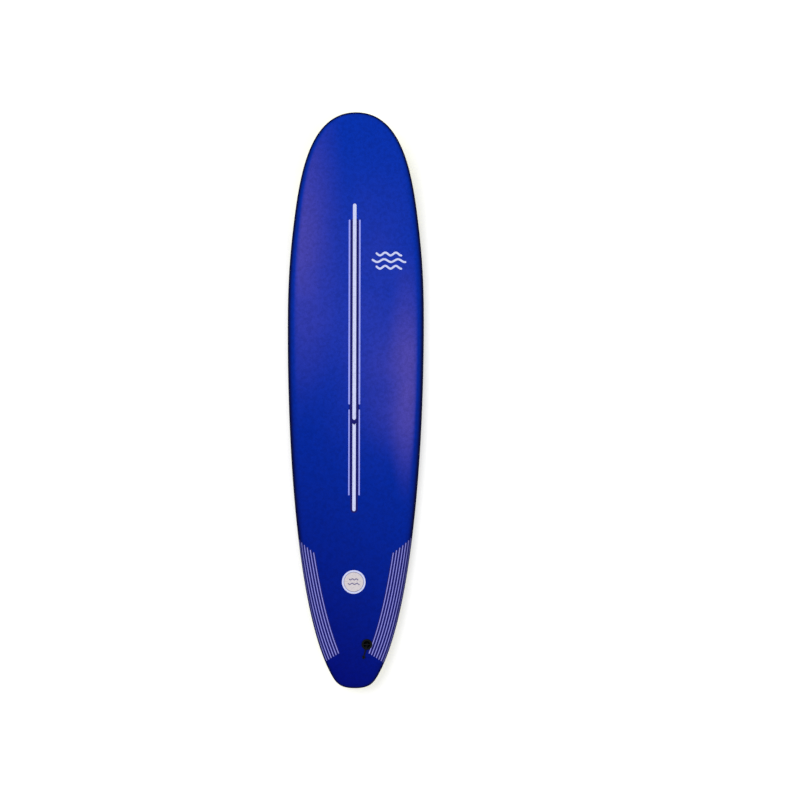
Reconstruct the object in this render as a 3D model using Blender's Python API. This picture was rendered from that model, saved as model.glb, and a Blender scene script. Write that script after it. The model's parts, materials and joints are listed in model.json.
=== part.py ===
"""Eight-foot soft-top surfboard, lying deck up with its nose towards +Y.

The hull is one grid of points, made from the plan outline, the rocker, the foil and the rail
curves. Each bonded layer of the board is that grid moved inwards to its own depth, so the
layers nest. Fin boxes and the leash plug are seated on the hull, and every hole and pocket
is cut from the same sizes as the piece that goes into it.

Sizes are in metres. The lowest flat stretch of the bottom lies on z = 0.
"""
import math

import bmesh
import bpy
import numpy as np
from mathutils import Matrix, Vector
from mathutils.bvhtree import BVHTree

# Whole board
BOARD_LENGTH = 2.438
BOARD_WIDTH = 0.578
BOARD_THICKNESS = 0.083

# Plan outline: each handle is the length of a Bezier handle
NOSE_TIP_HANDLE = 0.202
SHOULDER_FROM_NOSE = 0.481
SHOULDER_HALF_WIDTH = 0.266
SHOULDER_LEAN = math.radians(6.9)
SHOULDER_NOSE_HANDLE = 0.210
SHOULDER_SIDE_HANDLE = 0.154
WIDE_POINT_FROM_NOSE = 0.907
NOSE_SIDE_HANDLE = 0.160
TAIL_SIDE_HANDLE = 0.575
TAIL_CORNER_HALF_WIDTH = 0.100
TAIL_CORNER_RISE = 0.058
TAIL_CORNER_LEAN = math.radians(29.0)
TAIL_CORNER_HANDLE = 0.283
TAIL_ROUND_HANDLE = 0.040
TAIL_BLOCK_HANDLE = 0.064

# Side view: rocker lifts the bottom, foil thins the board towards its tips
NOSE_ROCKER = 0.125
TAIL_ROCKER = 0.052
FLAT_TOWARDS_NOSE = 0.25
FLAT_TOWARDS_TAIL = 0.30
NOSE_ROCKER_POWER = 2.4
TAIL_ROCKER_POWER = 2.2
NOSE_THICKNESS = 0.038
TAIL_THICKNESS = 0.036
FOIL_POWER = 2.6

# Cross-section: shares of the local thickness
RAIL_APEX_SHARE = 0.45
UPPER_ROLL_SHARE = 1.5
LOWER_ROLL_SHARE = 0.75
CROWN_SHARE = 0.15
FLAT_START_SHARE = 1.1

# Ends of the centreline on which the ribs of the grid meet
SPINE_NOSE_INSET = 0.115
SPINE_TAIL_INSET = 0.080

# Bonded layers
GAP = 0.0003
DECK_SKIN_THICKNESS = 0.0040
DECK_LAMINATE_THICKNESS = 0.0012
SLICK_THICKNESS = 0.0018
SEAM_INSET = 0.012
SEAM_GAP = 0.0005

# Timber stringers in the foam core
STRINGER_THICKNESS = 0.006
STRINGER_SPACING = 0.105

# Fin boxes: a flange flush with the bottom and a body with one long slot
FIN_FLANGE_LENGTH = 0.157
FIN_FLANGE_WIDTH = 0.040
FIN_FLANGE_CORNER = 0.010
FIN_FLANGE_THICKNESS = 0.0025
FIN_BODY_LENGTH = 0.145
FIN_BODY_WIDTH = 0.026
FIN_BODY_CORNER = 0.008
FIN_BODY_DEPTH = 0.024
FIN_BODY_DRAFT = 0.0015
FIN_SLOT_LENGTH = 0.115
FIN_SLOT_WIDTH = 0.0072
FIN_SLOT_DEPTH = 0.019
FIN_SLOT_SETBACK = 0.006
FIN_BLOCK_WALL = 0.012
FIN_BLOCK_FLOOR = 0.008
CENTRE_FIN_FROM_TAIL = 0.2455
SIDE_FIN_FROM_TAIL = 0.464
SIDE_FIN_FROM_RAIL = 0.0507
SIDE_FIN_TOE = math.radians(1.5)

# Grub screw that clamps a fin's base from the front of the slot
SCREW_DIAMETER = 0.005
SCREW_LENGTH = 0.012
SCREW_POINT = 0.0015
SCREW_CHAMFER = 0.0005
SCREW_SOCKET = 0.0025
SCREW_SOCKET_DEPTH = 0.003
SCREW_RECESS = 0.0025
SCREW_LEAN = math.radians(35.0)
SCREW_AHEAD_OF_SLOT = 0.010
SCREW_HOLE_DEPTH = 0.020

# Leash plug: a cup with a bar across it, near the tail on the deck
LEASH_FROM_TAIL = 0.1865
LEASH_OFFSET = 0.051
LEASH_FLANGE_RADIUS = 0.023
LEASH_FLANGE_THICKNESS = 0.003
LEASH_FLANGE_PROUD = 0.002
LEASH_CUP_RADIUS = 0.017
LEASH_CUP_WALL = 0.003
LEASH_CUP_DEPTH = 0.022
LEASH_DISH_RISE = 0.0047
LEASH_DISH_RUN = 0.0056
LEASH_HUB_RADIUS = 0.0035
LEASH_LIP_ROUND = 0.0012
LEASH_BAR_DIAMETER = 0.005
LEASH_BAR_DEPTH = 0.008
LEASH_BLOCK_WALL = 0.006
LEASH_BLOCK_FLOOR = 0.006

# Leash string: a doubled cord round the bar, tied in a knot on the deck
STRING_DIAMETER = 0.0028
STRING_SWING = math.radians(14.0)
STRING_POINT_SPACING = 0.0040
KNOT_CENTRE_FROM_PLUG = 0.0556
KNOT_RING_RADIUS = 0.0040
KNOT_WEAVE_RADIUS = 0.0021
KNOT_STRAND_DIAMETER = 0.0028
KNOT_TURNS = 2
KNOT_CROSSINGS = 3

# Mesh fineness
NOSE_STEPS = 8
SHOULDER_STEPS = 4
SIDE_STEPS = 9
TAIL_STEPS = 5
UPPER_ROLL_STEPS = 5
LOWER_ROLL_SHARES = (0.12, 0.45)
ROUND_STEPS = 24
CORNER_STEPS = 4
SCREW_SIDES = 12
KNOT_STEPS = 30
ROUTE_SUBSTEPS = 8
CUT_PAST = 0.010
SMOOTH_ANGLE = math.radians(35.0)

HALF_LENGTH = BOARD_LENGTH / 2
STACK_DEPTH = DECK_SKIN_THICKNESS + GAP + DECK_LAMINATE_THICKNESS
CORE_DEPTH = STACK_DEPTH + GAP

# String route in the plug's own frame, in millimetres: x along the bar, y towards the nose
STRING_ROUTE_MM = [
    (-1.9, -48.9, 1.9), (-1.9, -44.4, 1.8), (-1.9, -39.5, 1.8), (-1.9, -34.5, 1.8),
    (-1.9, -29.5, 2.2), (-1.9, -24.5, 3.7), (-1.9, -19.5, 4.3), (-1.9, -14.5, 3.5),
    (-1.9, -10.2, 0.1), (-1.9, -7.6, -4.7), (-1.7, -6.4, -10.0), (-1.2, -4.5, -14.5),
    (-0.5, 0.0, -16.4), (0.2, 4.5, -14.5), (0.8, 6.4, -10.0), (1.4, 4.5, -5.5),
    (1.8, 0.0, -3.6), (1.9, -5.0, -2.4), (1.9, -10.0, 0.8), (1.9, -14.6, 3.7),
    (1.9, -19.5, 4.3), (1.9, -24.5, 3.7), (1.9, -29.5, 2.2), (1.9, -34.5, 1.8),
    (1.9, -39.5, 1.8), (1.9, -44.4, 1.8), (1.9, -48.9, 1.9),
]

# Each finish: linear colour, roughness, metallic
FINISHES = {
    "deck_foam": ((0.018, 0.038, 0.40), 0.62, 0.0),
    "laminate": ((0.70, 0.72, 0.75), 0.70, 0.0),
    "slick": ((0.80, 0.80, 0.030), 0.28, 0.0),
    "core_foam": ((0.90, 0.90, 0.88), 0.85, 0.0),
    "timber": ((0.60, 0.42, 0.22), 0.70, 0.0),
    "box_plastic": ((0.93, 0.94, 0.95), 0.35, 0.0),
    "dense_foam": ((0.72, 0.70, 0.60), 0.80, 0.0),
    "plug_plastic": ((0.012, 0.013, 0.014), 0.40, 0.0),
    "steel": ((0.62, 0.63, 0.64), 0.25, 1.0),
    "cord": ((0.012, 0.014, 0.020), 0.75, 0.0),
}


# Scene helpers


def clear_scene():
    """Removes the objects that the file opens with."""
    for thing in list(bpy.data.objects):
        bpy.data.objects.remove(thing, do_unlink=True)


def own_material(owner, finish):
    """A Principled material for one object."""
    colour, roughness, metallic = FINISHES[finish]
    made = bpy.data.materials.new(f"{owner}_{finish}")
    made.use_nodes = True
    shader = made.node_tree.nodes["Principled BSDF"]
    shader.inputs["Base Color"].default_value = (*colour, 1.0)
    shader.inputs["Roughness"].default_value = roughness
    shader.inputs["Metallic"].default_value = metallic
    return made


def add_object(name, data, finish=None, parent=None):
    """Links new data as an object, under a parent where it has one."""
    thing = bpy.data.objects.new(name, data)
    bpy.context.scene.collection.objects.link(thing)
    thing.parent = parent
    if finish:
        data.materials.append(own_material(name, finish))
    return thing


def mesh_from(bm, smooth=False):
    """Turns a bmesh into a mesh whose faces point out."""
    bmesh.ops.recalc_face_normals(bm, faces=bm.faces)
    mesh = bpy.data.meshes.new("shape")
    bm.to_mesh(mesh)
    bm.free()
    if smooth:
        mesh.shade_smooth()
        mesh.set_sharp_from_angle(angle=SMOOTH_ANGLE)
    return mesh


def hide_guide(thing):
    """Marks a cutter or guide, which isn't a piece of the board."""
    thing.hide_render = True
    thing.display_type = "WIRE"
    return thing


def boolean(thing, other, operation):
    """Adds an exact Boolean to a piece."""
    step = thing.modifiers.new(f"{operation.lower()}_{other.name}", "BOOLEAN")
    step.object = other
    step.operation = operation
    step.solver = "EXACT"


def stacked_loops(loops):
    """Closed bmesh through matching loops of points, capped at both ends."""
    bm = bmesh.new()
    rings = [[bm.verts.new(point) for point in loop] for loop in loops]
    for low, high in zip(rings, rings[1:]):
        for i in range(len(low)):
            j = (i + 1) % len(low)
            bm.faces.new((low[i], low[j], high[j], high[i]))
    bm.faces.new(rings[0])
    bm.faces.new(rings[-1])
    return bm


def rounded_rectangle(length, width, corner):
    """Loop of (x, y) points, with its length along y."""
    loop = []
    centres = ((1, 1), (-1, 1), (-1, -1), (1, -1))
    for quarter, (sx, sy) in enumerate(centres):
        cx = sx * (width / 2 - corner)
        cy = sy * (length / 2 - corner)
        for step in range(CORNER_STEPS + 1):
            turn = (quarter + step / CORNER_STEPS) * math.pi / 2
            loop.append((cx + corner * math.cos(turn), cy + corner * math.sin(turn)))
    return loop


def prism(outline, low, high):
    """Closed bmesh of a plan outline between two heights."""
    return stacked_loops([[(x, y, z) for x, y in outline] for z in (low, high)])


def circle(radius, sides=ROUND_STEPS):
    """Loop of (x, y) points round the origin."""
    turns = [2 * math.pi * i / sides for i in range(sides)]
    return [(radius * math.cos(turn), radius * math.sin(turn)) for turn in turns]


def turned(profile, sides=ROUND_STEPS):
    """Closed bmesh of a profile of (radius, z) pairs turned round z; both ends lie off the axis."""
    return stacked_loops([[(x, y, z) for x, y in circle(radius, sides)] for radius, z in profile])


# Hull


def bezier(start, start_handle, end_handle, end, steps):
    """Points of a cubic Bezier after its start, as (x, y) pairs."""
    points = []
    for step in range(1, steps + 1):
        t = step / steps
        weights = ((1 - t) ** 3, 3 * (1 - t) ** 2 * t, 3 * (1 - t) * t**2, t**3)
        corners = (start, start_handle, end_handle, end)
        points.append(tuple(sum(w * c[k] for w, c in zip(weights, corners)) for k in (0, 1)))
    return points


def half_outline():
    """Plan outline of the +X half, from the nose tip to the middle of the tail."""
    half_width = BOARD_WIDTH / 2
    wide_y = HALF_LENGTH - WIDE_POINT_FROM_NOSE
    tip = (0.0, HALF_LENGTH)
    wide = (half_width, wide_y)
    corner = (TAIL_CORNER_HALF_WIDTH, TAIL_CORNER_RISE - HALF_LENGTH)
    lean = (math.sin(TAIL_CORNER_LEAN), math.cos(TAIL_CORNER_LEAN))
    tail = (0.0, -HALF_LENGTH)

    shoulder = (SHOULDER_HALF_WIDTH, HALF_LENGTH - SHOULDER_FROM_NOSE)
    out = (math.sin(SHOULDER_LEAN), -math.cos(SHOULDER_LEAN))
    before = tuple(c - SHOULDER_NOSE_HANDLE * d for c, d in zip(shoulder, out))
    after = tuple(c + SHOULDER_SIDE_HANDLE * d for c, d in zip(shoulder, out))

    points = [tip]
    points += bezier(tip, (NOSE_TIP_HANDLE, HALF_LENGTH), before, shoulder, NOSE_STEPS)
    points += bezier(
        shoulder, after, (half_width, wide_y + NOSE_SIDE_HANDLE), wide, SHOULDER_STEPS
    )
    corner_handle = tuple(c + TAIL_CORNER_HANDLE * d for c, d in zip(corner, lean))
    points += bezier(
        wide, (half_width, wide_y - TAIL_SIDE_HANDLE), corner_handle, corner, SIDE_STEPS
    )
    round_handle = tuple(c - TAIL_ROUND_HANDLE * d for c, d in zip(corner, lean))
    points += bezier(corner, round_handle, (TAIL_BLOCK_HANDLE, -HALF_LENGTH), tail, TAIL_STEPS)
    return points


def rocker(y):
    """Height of the bottom on the centreline."""
    if y > FLAT_TOWARDS_NOSE:
        run = (y - FLAT_TOWARDS_NOSE) / (HALF_LENGTH - FLAT_TOWARDS_NOSE)
        return NOSE_ROCKER * run**NOSE_ROCKER_POWER
    if y < -FLAT_TOWARDS_TAIL:
        run = (-y - FLAT_TOWARDS_TAIL) / (HALF_LENGTH - FLAT_TOWARDS_TAIL)
        return TAIL_ROCKER * run**TAIL_ROCKER_POWER
    return 0.0


def thickness(y):
    """Thickness on the centreline."""
    tip = NOSE_THICKNESS if y > 0 else TAIL_THICKNESS
    run = min(abs(y) / HALF_LENGTH, 1.0)
    return tip + (BOARD_THICKNESS - tip) * (1 - run**FOIL_POWER)


def roll(inset, width):
    """Share of a rail's quarter ellipse that is climbed at an inset from the outline."""
    left = max(1 - inset / width, 0.0)
    return math.sqrt(1 - left * left)


class HullGrid:
    """Rows of hull points: the deck's spine, deck rings, rail rings, bottom rings and spine."""

    def __init__(self):
        half = half_outline()
        self.stations = len(half)
        mirrored = [(-x, y) for x, y in half[-2:0:-1]]
        self.outline = np.array(half + mirrored)
        self.count = len(self.outline)
        self.find_ribs()
        self.points = []
        self.add_deck_rows()
        self.apex = len(self.points) - 1
        self.add_bottom_rows()
        self.points = np.array(self.points)
        self.find_normals()

    def half_width(self, y):
        """Distance from the centreline to the outline at a y."""
        side = self.outline[: self.stations]
        return float(np.interp(-y, -side[:, 1], side[:, 0]))

    def find_ribs(self):
        """Each rib runs inwards from an outline point to its place on the spine."""
        nose = 1 - SPINE_NOSE_INSET / HALF_LENGTH
        tail = 1 - SPINE_TAIL_INSET / HALF_LENGTH
        y = self.outline[:, 1]
        self.spine_y = y * np.where(y > 0, nose, tail)
        feet = np.column_stack([np.zeros(self.count), self.spine_y])
        ribs = feet - self.outline
        self.rib_length = np.linalg.norm(ribs, axis=1)
        self.rib = ribs / self.rib_length[:, None]
        along = np.roll(self.outline, -1, axis=0) - np.roll(self.outline, 1, axis=0)
        inward = np.column_stack([along[:, 1], -along[:, 0]])
        inward /= np.linalg.norm(inward, axis=1)[:, None]
        self.slant = np.abs((self.rib * inward).sum(axis=1))

    def row_of(self, inset_of, height_of):
        """One ring, from functions of the y of the outline point and of the inset."""
        row = []
        for i in range(self.count):
            inset = inset_of(self.outline[i, 1])
            along = min(inset / self.slant[i], self.rib_length[i])
            x, y = self.outline[i] + self.rib[i] * along
            row.append((x, y, height_of(y, inset, along / self.rib_length[i])))
        return row

    def spine_row(self, height_of):
        """The spine, with both sides' stations on the same points."""
        return [(0.0, y, height_of(y)) for y in self.spine_y]

    def add_deck_rows(self):
        """Spine of the deck, then rings outwards to the rail's apex."""

        def roll_width(y):
            return UPPER_ROLL_SHARE * (1 - RAIL_APEX_SHARE) * thickness(y)

        def height(y, inset, share):
            apex = RAIL_APEX_SHARE * thickness(y)
            above = thickness(y) - apex
            climbed = (1 - CROWN_SHARE) * roll(inset, roll_width(y))
            crown = CROWN_SHARE * (1 - (1 - share) ** 2)
            return rocker(y) + apex + above * (climbed + crown)

        def ring_inset(turn):
            return lambda y: roll_width(y) * (1 - math.cos(turn))

        self.points.append(self.spine_row(lambda y: rocker(y) + thickness(y)))
        self.points.append(self.crown_row(height))
        for step in range(UPPER_ROLL_STEPS, -1, -1):
            turn = step / UPPER_ROLL_STEPS * math.pi / 2
            self.points.append(self.row_of(ring_inset(turn), height))

    def crown_row(self, height):
        """A ring half way from the end of the rail's roll to the spine."""
        row = []
        for i in range(self.count):
            local = thickness(self.outline[i, 1])
            rolled = UPPER_ROLL_SHARE * (1 - RAIL_APEX_SHARE) * local / self.slant[i]
            along = (rolled + self.rib_length[i]) / 2
            x, y = self.outline[i] + self.rib[i] * along
            row.append((x, y, height(y, along * self.slant[i], along / self.rib_length[i])))
        return row

    def add_bottom_rows(self):
        """Rings from the rail's apex to the flat of the bottom, then its spine."""

        def roll_width(y):
            return LOWER_ROLL_SHARE * RAIL_APEX_SHARE * thickness(y)

        def height(y, inset, share):
            return rocker(y) + RAIL_APEX_SHARE * thickness(y) * (1 - roll(inset, roll_width(y)))

        def flat_inset(y):
            return max(roll_width(y), SEAM_INSET + SEAM_GAP) * FLAT_START_SHARE

        for share in LOWER_ROLL_SHARES:
            self.points.append(
                self.row_of(lambda y: share * min(roll_width(y), SEAM_INSET), height)
            )
        self.seam = len(self.points)
        self.points.append(self.row_of(lambda y: SEAM_INSET, height))
        self.points.append(self.row_of(lambda y: SEAM_INSET + SEAM_GAP, height))
        self.points.append(
            self.row_of(lambda y: (SEAM_INSET + SEAM_GAP + flat_inset(y)) / 2, height)
        )
        self.points.append(self.row_of(flat_inset, height))
        self.points.append(self.spine_row(rocker))

    def key(self, level, i):
        """Vertex name of a grid point: a spine's two sides share their points."""
        i %= self.count
        if level in (0, len(self.points) - 1):
            i = min(i, self.count - i)
        return level, i

    def triangles(self, levels):
        """Triangles between neighbouring levels, split alike on every layer.

        The two halves are split as mirror images, and the ends so that no triangle beside
        the spine is shared by both halves.
        """
        found = []
        for upper, lower in zip(levels, levels[1:]):
            for i in range(self.count):
                a, b = self.key(upper, i), self.key(upper, i + 1)
                c, d = self.key(lower, i + 1), self.key(lower, i)
                on_right = i < self.count // 2
                near_nose = min(i, self.count - 1 - i) < self.stations // 2
                on_deck = upper < self.apex
                if (near_nose == on_deck) == on_right:
                    found += [(a, b, c), (a, c, d)]
                else:
                    found += [(a, b, d), (b, c, d)]
        return found

    def find_normals(self):
        """Outward normals of the closed hull at every grid point."""
        bm, vertices = self.layer_mesh(range(len(self.points)), [0.0])
        bmesh.ops.recalc_face_normals(bm, faces=bm.faces)
        bm.normal_update()
        self.normals = np.zeros_like(self.points)
        for level in range(len(self.points)):
            for i in range(self.count):
                vertex = vertices[0, self.key(level, i)]
                self.normals[level, i] = vertex.normal
        bm.free()
        # both sides of the seam share their normals, so the seam keeps its width
        shared = self.normals[self.seam] + self.normals[self.seam + 1]
        shared /= np.linalg.norm(shared, axis=1)[:, None]
        self.normals[self.seam] = shared
        self.normals[self.seam + 1] = shared

    def layer_mesh(self, levels, depths):
        """Solid between one or two depths: whole with one depth, a shell with two."""
        levels = list(levels)
        bm = bmesh.new()
        vertices = {}
        for depth in depths:
            for level in levels:
                for i in range(self.count):
                    name = (depth, self.key(level, i))
                    if name not in vertices:
                        point = Vector(self.points[level, i])
                        if depth:
                            point -= depth * Vector(self.normals[level, i])
                        vertices[name] = bm.verts.new(point)
            for triangle in self.triangles(levels):
                bm.faces.new([vertices[depth, corner] for corner in triangle])
        if len(depths) == 2:
            outer, inner = depths
            for level in (levels[0], levels[-1]):
                if level in (0, len(self.points) - 1):
                    continue
                for i in range(self.count):
                    a, b = self.key(level, i), self.key(level, i + 1)
                    bm.faces.new(
                        (vertices[outer, a], vertices[outer, b], vertices[inner, b], vertices[inner, a])
                    )
        return bm, vertices

    def layer(self, name, levels, depths, finish):
        """One bonded layer as an object, shaded smooth away from its edges."""
        bm, _ = self.layer_mesh(levels, depths)
        return add_object(name, mesh_from(bm, smooth=True), finish)


class Surface:
    """Finds points on the hull from straight above or below."""

    def __init__(self, grid):
        bm, _ = grid.layer_mesh(range(len(grid.points)), [0.0])
        self.tree = BVHTree.FromBMesh(bm)
        bm.free()

    def point(self, x, y, side):
        """Hull point at a plan position; side is +1 for the deck and -1 for the bottom."""
        hit, _, _, _ = self.tree.ray_cast(Vector((x, y, side)), Vector((0, 0, -side)))
        return hit

    def seat(self, name, x, y, heading, reach, half_width, side):
        """Empty on the hull: z out of the board, y towards the nose, turned by the heading."""
        ahead = Vector((math.sin(heading), math.cos(heading), 0))
        across = Vector((math.cos(heading), -math.sin(heading), 0))
        middle = Vector((x, y, 0))
        front, rear, right, left = [
            self.point(*(middle + offset).xy, side)
            for offset in (reach * ahead, -reach * ahead, half_width * across, -half_width * across)
        ]
        axis_y = (front - rear).normalized()
        axis_z = (right - left).cross(axis_y).normalized() * side
        axis_x = axis_y.cross(axis_z)
        origin = (front + rear + right + left) / 4
        empty = add_object(name, None)
        empty.matrix_world = Matrix.Translation(origin) @ Matrix(
            (axis_x, axis_y, axis_z)
        ).transposed().to_4x4()
        return empty


# Layers, core and stringers


def build_layers(grid):
    """Deck skin, the layer under it, the slick bottom and its backing."""
    last = len(grid.points) - 1
    deck_levels = range(0, grid.seam + 1)
    bottom_levels = range(grid.seam + 1, last + 1)
    laminate_start = DECK_SKIN_THICKNESS + GAP
    backing_start = SLICK_THICKNESS + GAP
    return {
        "deck_skin": grid.layer("deck_skin", deck_levels, (0.0, DECK_SKIN_THICKNESS), "deck_foam"),
        "deck_laminate": grid.layer(
            "deck_laminate", deck_levels, (laminate_start, STACK_DEPTH), "laminate"
        ),
        "bottom_slick": grid.layer("bottom_slick", bottom_levels, (0.0, SLICK_THICKNESS), "slick"),
        "bottom_laminate": grid.layer(
            "bottom_laminate", bottom_levels, (backing_start, STACK_DEPTH), "laminate"
        ),
    }


def slab(name, low_x, high_x, finish):
    """Upright slab over the whole length and height, between two x values."""
    reach = HALF_LENGTH + CUT_PAST
    top = NOSE_ROCKER + BOARD_THICKNESS + CUT_PAST
    corners = [(low_x, -reach), (high_x, -reach), (high_x, reach), (low_x, reach)]
    return add_object(name, mesh_from(prism(corners, -CUT_PAST, top)), finish)


def build_core(grid):
    """Four foam strips and three stringers, all cut from one core volume."""
    levels = [level for level in range(len(grid.points)) if level != grid.seam + 1]
    bm, _ = grid.layer_mesh(levels, [CORE_DEPTH])
    volume = hide_guide(add_object("core_volume", mesh_from(bm)))

    half_slab = STRINGER_THICKNESS / 2
    edge = BOARD_WIDTH / 2 + CUT_PAST
    strips = {
        "core_left_outer": (-edge, -STRINGER_SPACING - half_slab - GAP),
        "core_left_inner": (-STRINGER_SPACING + half_slab + GAP, -half_slab - GAP),
        "core_right_inner": (half_slab + GAP, STRINGER_SPACING - half_slab - GAP),
        "core_right_outer": (STRINGER_SPACING + half_slab + GAP, edge),
    }
    stringers = {
        "stringer_left": -STRINGER_SPACING,
        "stringer_centre": 0.0,
        "stringer_right": STRINGER_SPACING,
    }
    pieces = {}
    for name, (low_x, high_x) in strips.items():
        pieces[name] = slab(name, low_x, high_x, "core_foam")
    for name, x in stringers.items():
        pieces[name] = slab(name, x - half_slab, x + half_slab, "timber")
    for piece in pieces.values():
        boolean(piece, volume, "INTERSECT")
    return pieces, volume


# Fin boxes


def fin_box_mesh():
    """Flange and drafted body, before the slot and the screw hole are cut."""
    flange = rounded_rectangle(FIN_FLANGE_LENGTH, FIN_FLANGE_WIDTH, FIN_FLANGE_CORNER)
    body = rounded_rectangle(FIN_BODY_LENGTH, FIN_BODY_WIDTH, FIN_BODY_CORNER)
    floor = rounded_rectangle(
        FIN_BODY_LENGTH - 2 * FIN_BODY_DRAFT,
        FIN_BODY_WIDTH - 2 * FIN_BODY_DRAFT,
        FIN_BODY_CORNER - FIN_BODY_DRAFT,
    )
    rows = (
        (flange, 0.0),
        (flange, -FIN_FLANGE_THICKNESS),
        (body, -FIN_FLANGE_THICKNESS),
        (floor, -FIN_BODY_DEPTH),
    )
    return mesh_from(stacked_loops([[(x, y, z) for x, y in loop] for loop, z in rows]))


def slot_mesh():
    """Space of the fin's base, as a cutter that rises past the flange."""
    outline = rounded_rectangle(FIN_SLOT_LENGTH, FIN_SLOT_WIDTH, FIN_SLOT_WIDTH / 2 - GAP)
    shifted = [(x, y - FIN_SLOT_SETBACK) for x, y in outline]
    return mesh_from(prism(shifted, -FIN_SLOT_DEPTH, CUT_PAST))


def screw_frame():
    """Pose of the screw in its box: z along the screw, out of the board."""
    slot_front = FIN_SLOT_LENGTH / 2 - FIN_SLOT_SETBACK
    entry = Vector((0, slot_front + SCREW_AHEAD_OF_SLOT, 0))
    turn = Matrix.Rotation(-SCREW_LEAN, 4, "X")
    return Matrix.Translation(entry) @ turn


def screw_mesh():
    """Grub screw with its socket end at z = 0 and a cone point at the other end."""
    radius = SCREW_DIAMETER / 2
    profile = [
        (radius - SCREW_CHAMFER, 0.0),
        (radius, -SCREW_CHAMFER),
        (radius, SCREW_POINT - SCREW_LENGTH),
        (radius - SCREW_POINT, -SCREW_LENGTH),
    ]
    return mesh_from(turned(profile, SCREW_SIDES), smooth=True)


def socket_mesh():
    """Hexagon cutter for the key."""
    across_corners = SCREW_SOCKET / math.cos(math.pi / 6)
    return mesh_from(prism(circle(across_corners / 2, 6), -SCREW_SOCKET_DEPTH, CUT_PAST))


def fin_pocket(name, seat, length, width, corner, depth):
    """Cutter with the outline of a box piece and a gap round it."""
    outline = rounded_rectangle(length + 2 * GAP, width + 2 * GAP, corner + GAP)
    mesh = mesh_from(prism(outline, -depth - GAP, CUT_PAST))
    return hide_guide(add_object(name, mesh, parent=seat))


def build_fin_box(place, seat, layers, pieces, volume):
    """One box with its block and screw, and the holes they need."""
    flange_cut = fin_pocket(
        f"flange_cut_{place}", seat,
        FIN_FLANGE_LENGTH, FIN_FLANGE_WIDTH, FIN_FLANGE_CORNER, FIN_FLANGE_THICKNESS,
    )
    body_cut = fin_pocket(
        f"body_cut_{place}", seat,
        FIN_BODY_LENGTH, FIN_BODY_WIDTH, FIN_BODY_CORNER, FIN_BODY_DEPTH,
    )
    for name in ("bottom_slick", "bottom_laminate"):
        boolean(layers[name], flange_cut, "DIFFERENCE")
    boolean(layers["bottom_laminate"], body_cut, "DIFFERENCE")

    block_length = FIN_BODY_LENGTH + 2 * FIN_BLOCK_WALL
    block_width = FIN_BODY_WIDTH + 2 * FIN_BLOCK_WALL
    block_corner = FIN_BODY_CORNER + FIN_BLOCK_WALL
    block_depth = FIN_BODY_DEPTH + FIN_BLOCK_FLOOR
    block_cut = fin_pocket(
        f"block_cut_{place}", seat, block_length, block_width, block_corner, block_depth
    )
    for piece in pieces.values():
        boolean(piece, block_cut, "DIFFERENCE")

    outline = rounded_rectangle(block_length, block_width, block_corner)
    block_mesh = mesh_from(prism(outline, -block_depth, CUT_PAST))
    block = add_object(f"fin_block_{place}", block_mesh, "dense_foam", seat)
    boolean(block, volume, "INTERSECT")
    boolean(block, body_cut, "DIFFERENCE")

    box = add_object(f"fin_box_{place}", fin_box_mesh(), "box_plastic", seat)
    slot_cut = hide_guide(add_object(f"slot_cut_{place}", slot_mesh(), parent=seat))
    boolean(box, slot_cut, "DIFFERENCE")

    hole_outline = circle(SCREW_DIAMETER / 2 + GAP, SCREW_SIDES)
    hole_mesh = mesh_from(prism(hole_outline, -SCREW_HOLE_DEPTH, CUT_PAST))
    hole_cut = hide_guide(add_object(f"screw_hole_cut_{place}", hole_mesh, parent=seat))
    hole_cut.matrix_local = screw_frame()
    boolean(box, hole_cut, "DIFFERENCE")

    screw = add_object(f"fin_screw_{place}", screw_mesh(), "steel", seat)
    screw.matrix_local = screw_frame() @ Matrix.Translation((0, 0, -SCREW_RECESS))
    socket = hide_guide(add_object(f"socket_cut_{place}", socket_mesh(), parent=screw))
    boolean(screw, socket, "DIFFERENCE")


def build_fins(grid, surface, layers, pieces, volume):
    """Centre box on the stringer line and one box in from each rail, toed in."""
    centre_y = CENTRE_FIN_FROM_TAIL - HALF_LENGTH
    side_y = SIDE_FIN_FROM_TAIL - HALF_LENGTH
    side_x = grid.half_width(side_y) - SIDE_FIN_FROM_RAIL
    places = {
        "centre": (0.0, centre_y, 0.0),
        "left": (-side_x, side_y, SIDE_FIN_TOE),
        "right": (side_x, side_y, -SIDE_FIN_TOE),
    }
    # a flat flange meets the curved bottom best through points this share of the way out
    share = 1 / math.sqrt(3)
    for place, (x, y, heading) in places.items():
        seat = surface.seat(
            f"fin_seat_{place}", x, y, heading,
            share * FIN_FLANGE_LENGTH / 2, share * FIN_FLANGE_WIDTH / 2, -1,
        )
        build_fin_box(place, seat, layers, pieces, volume)


# Leash plug


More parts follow.
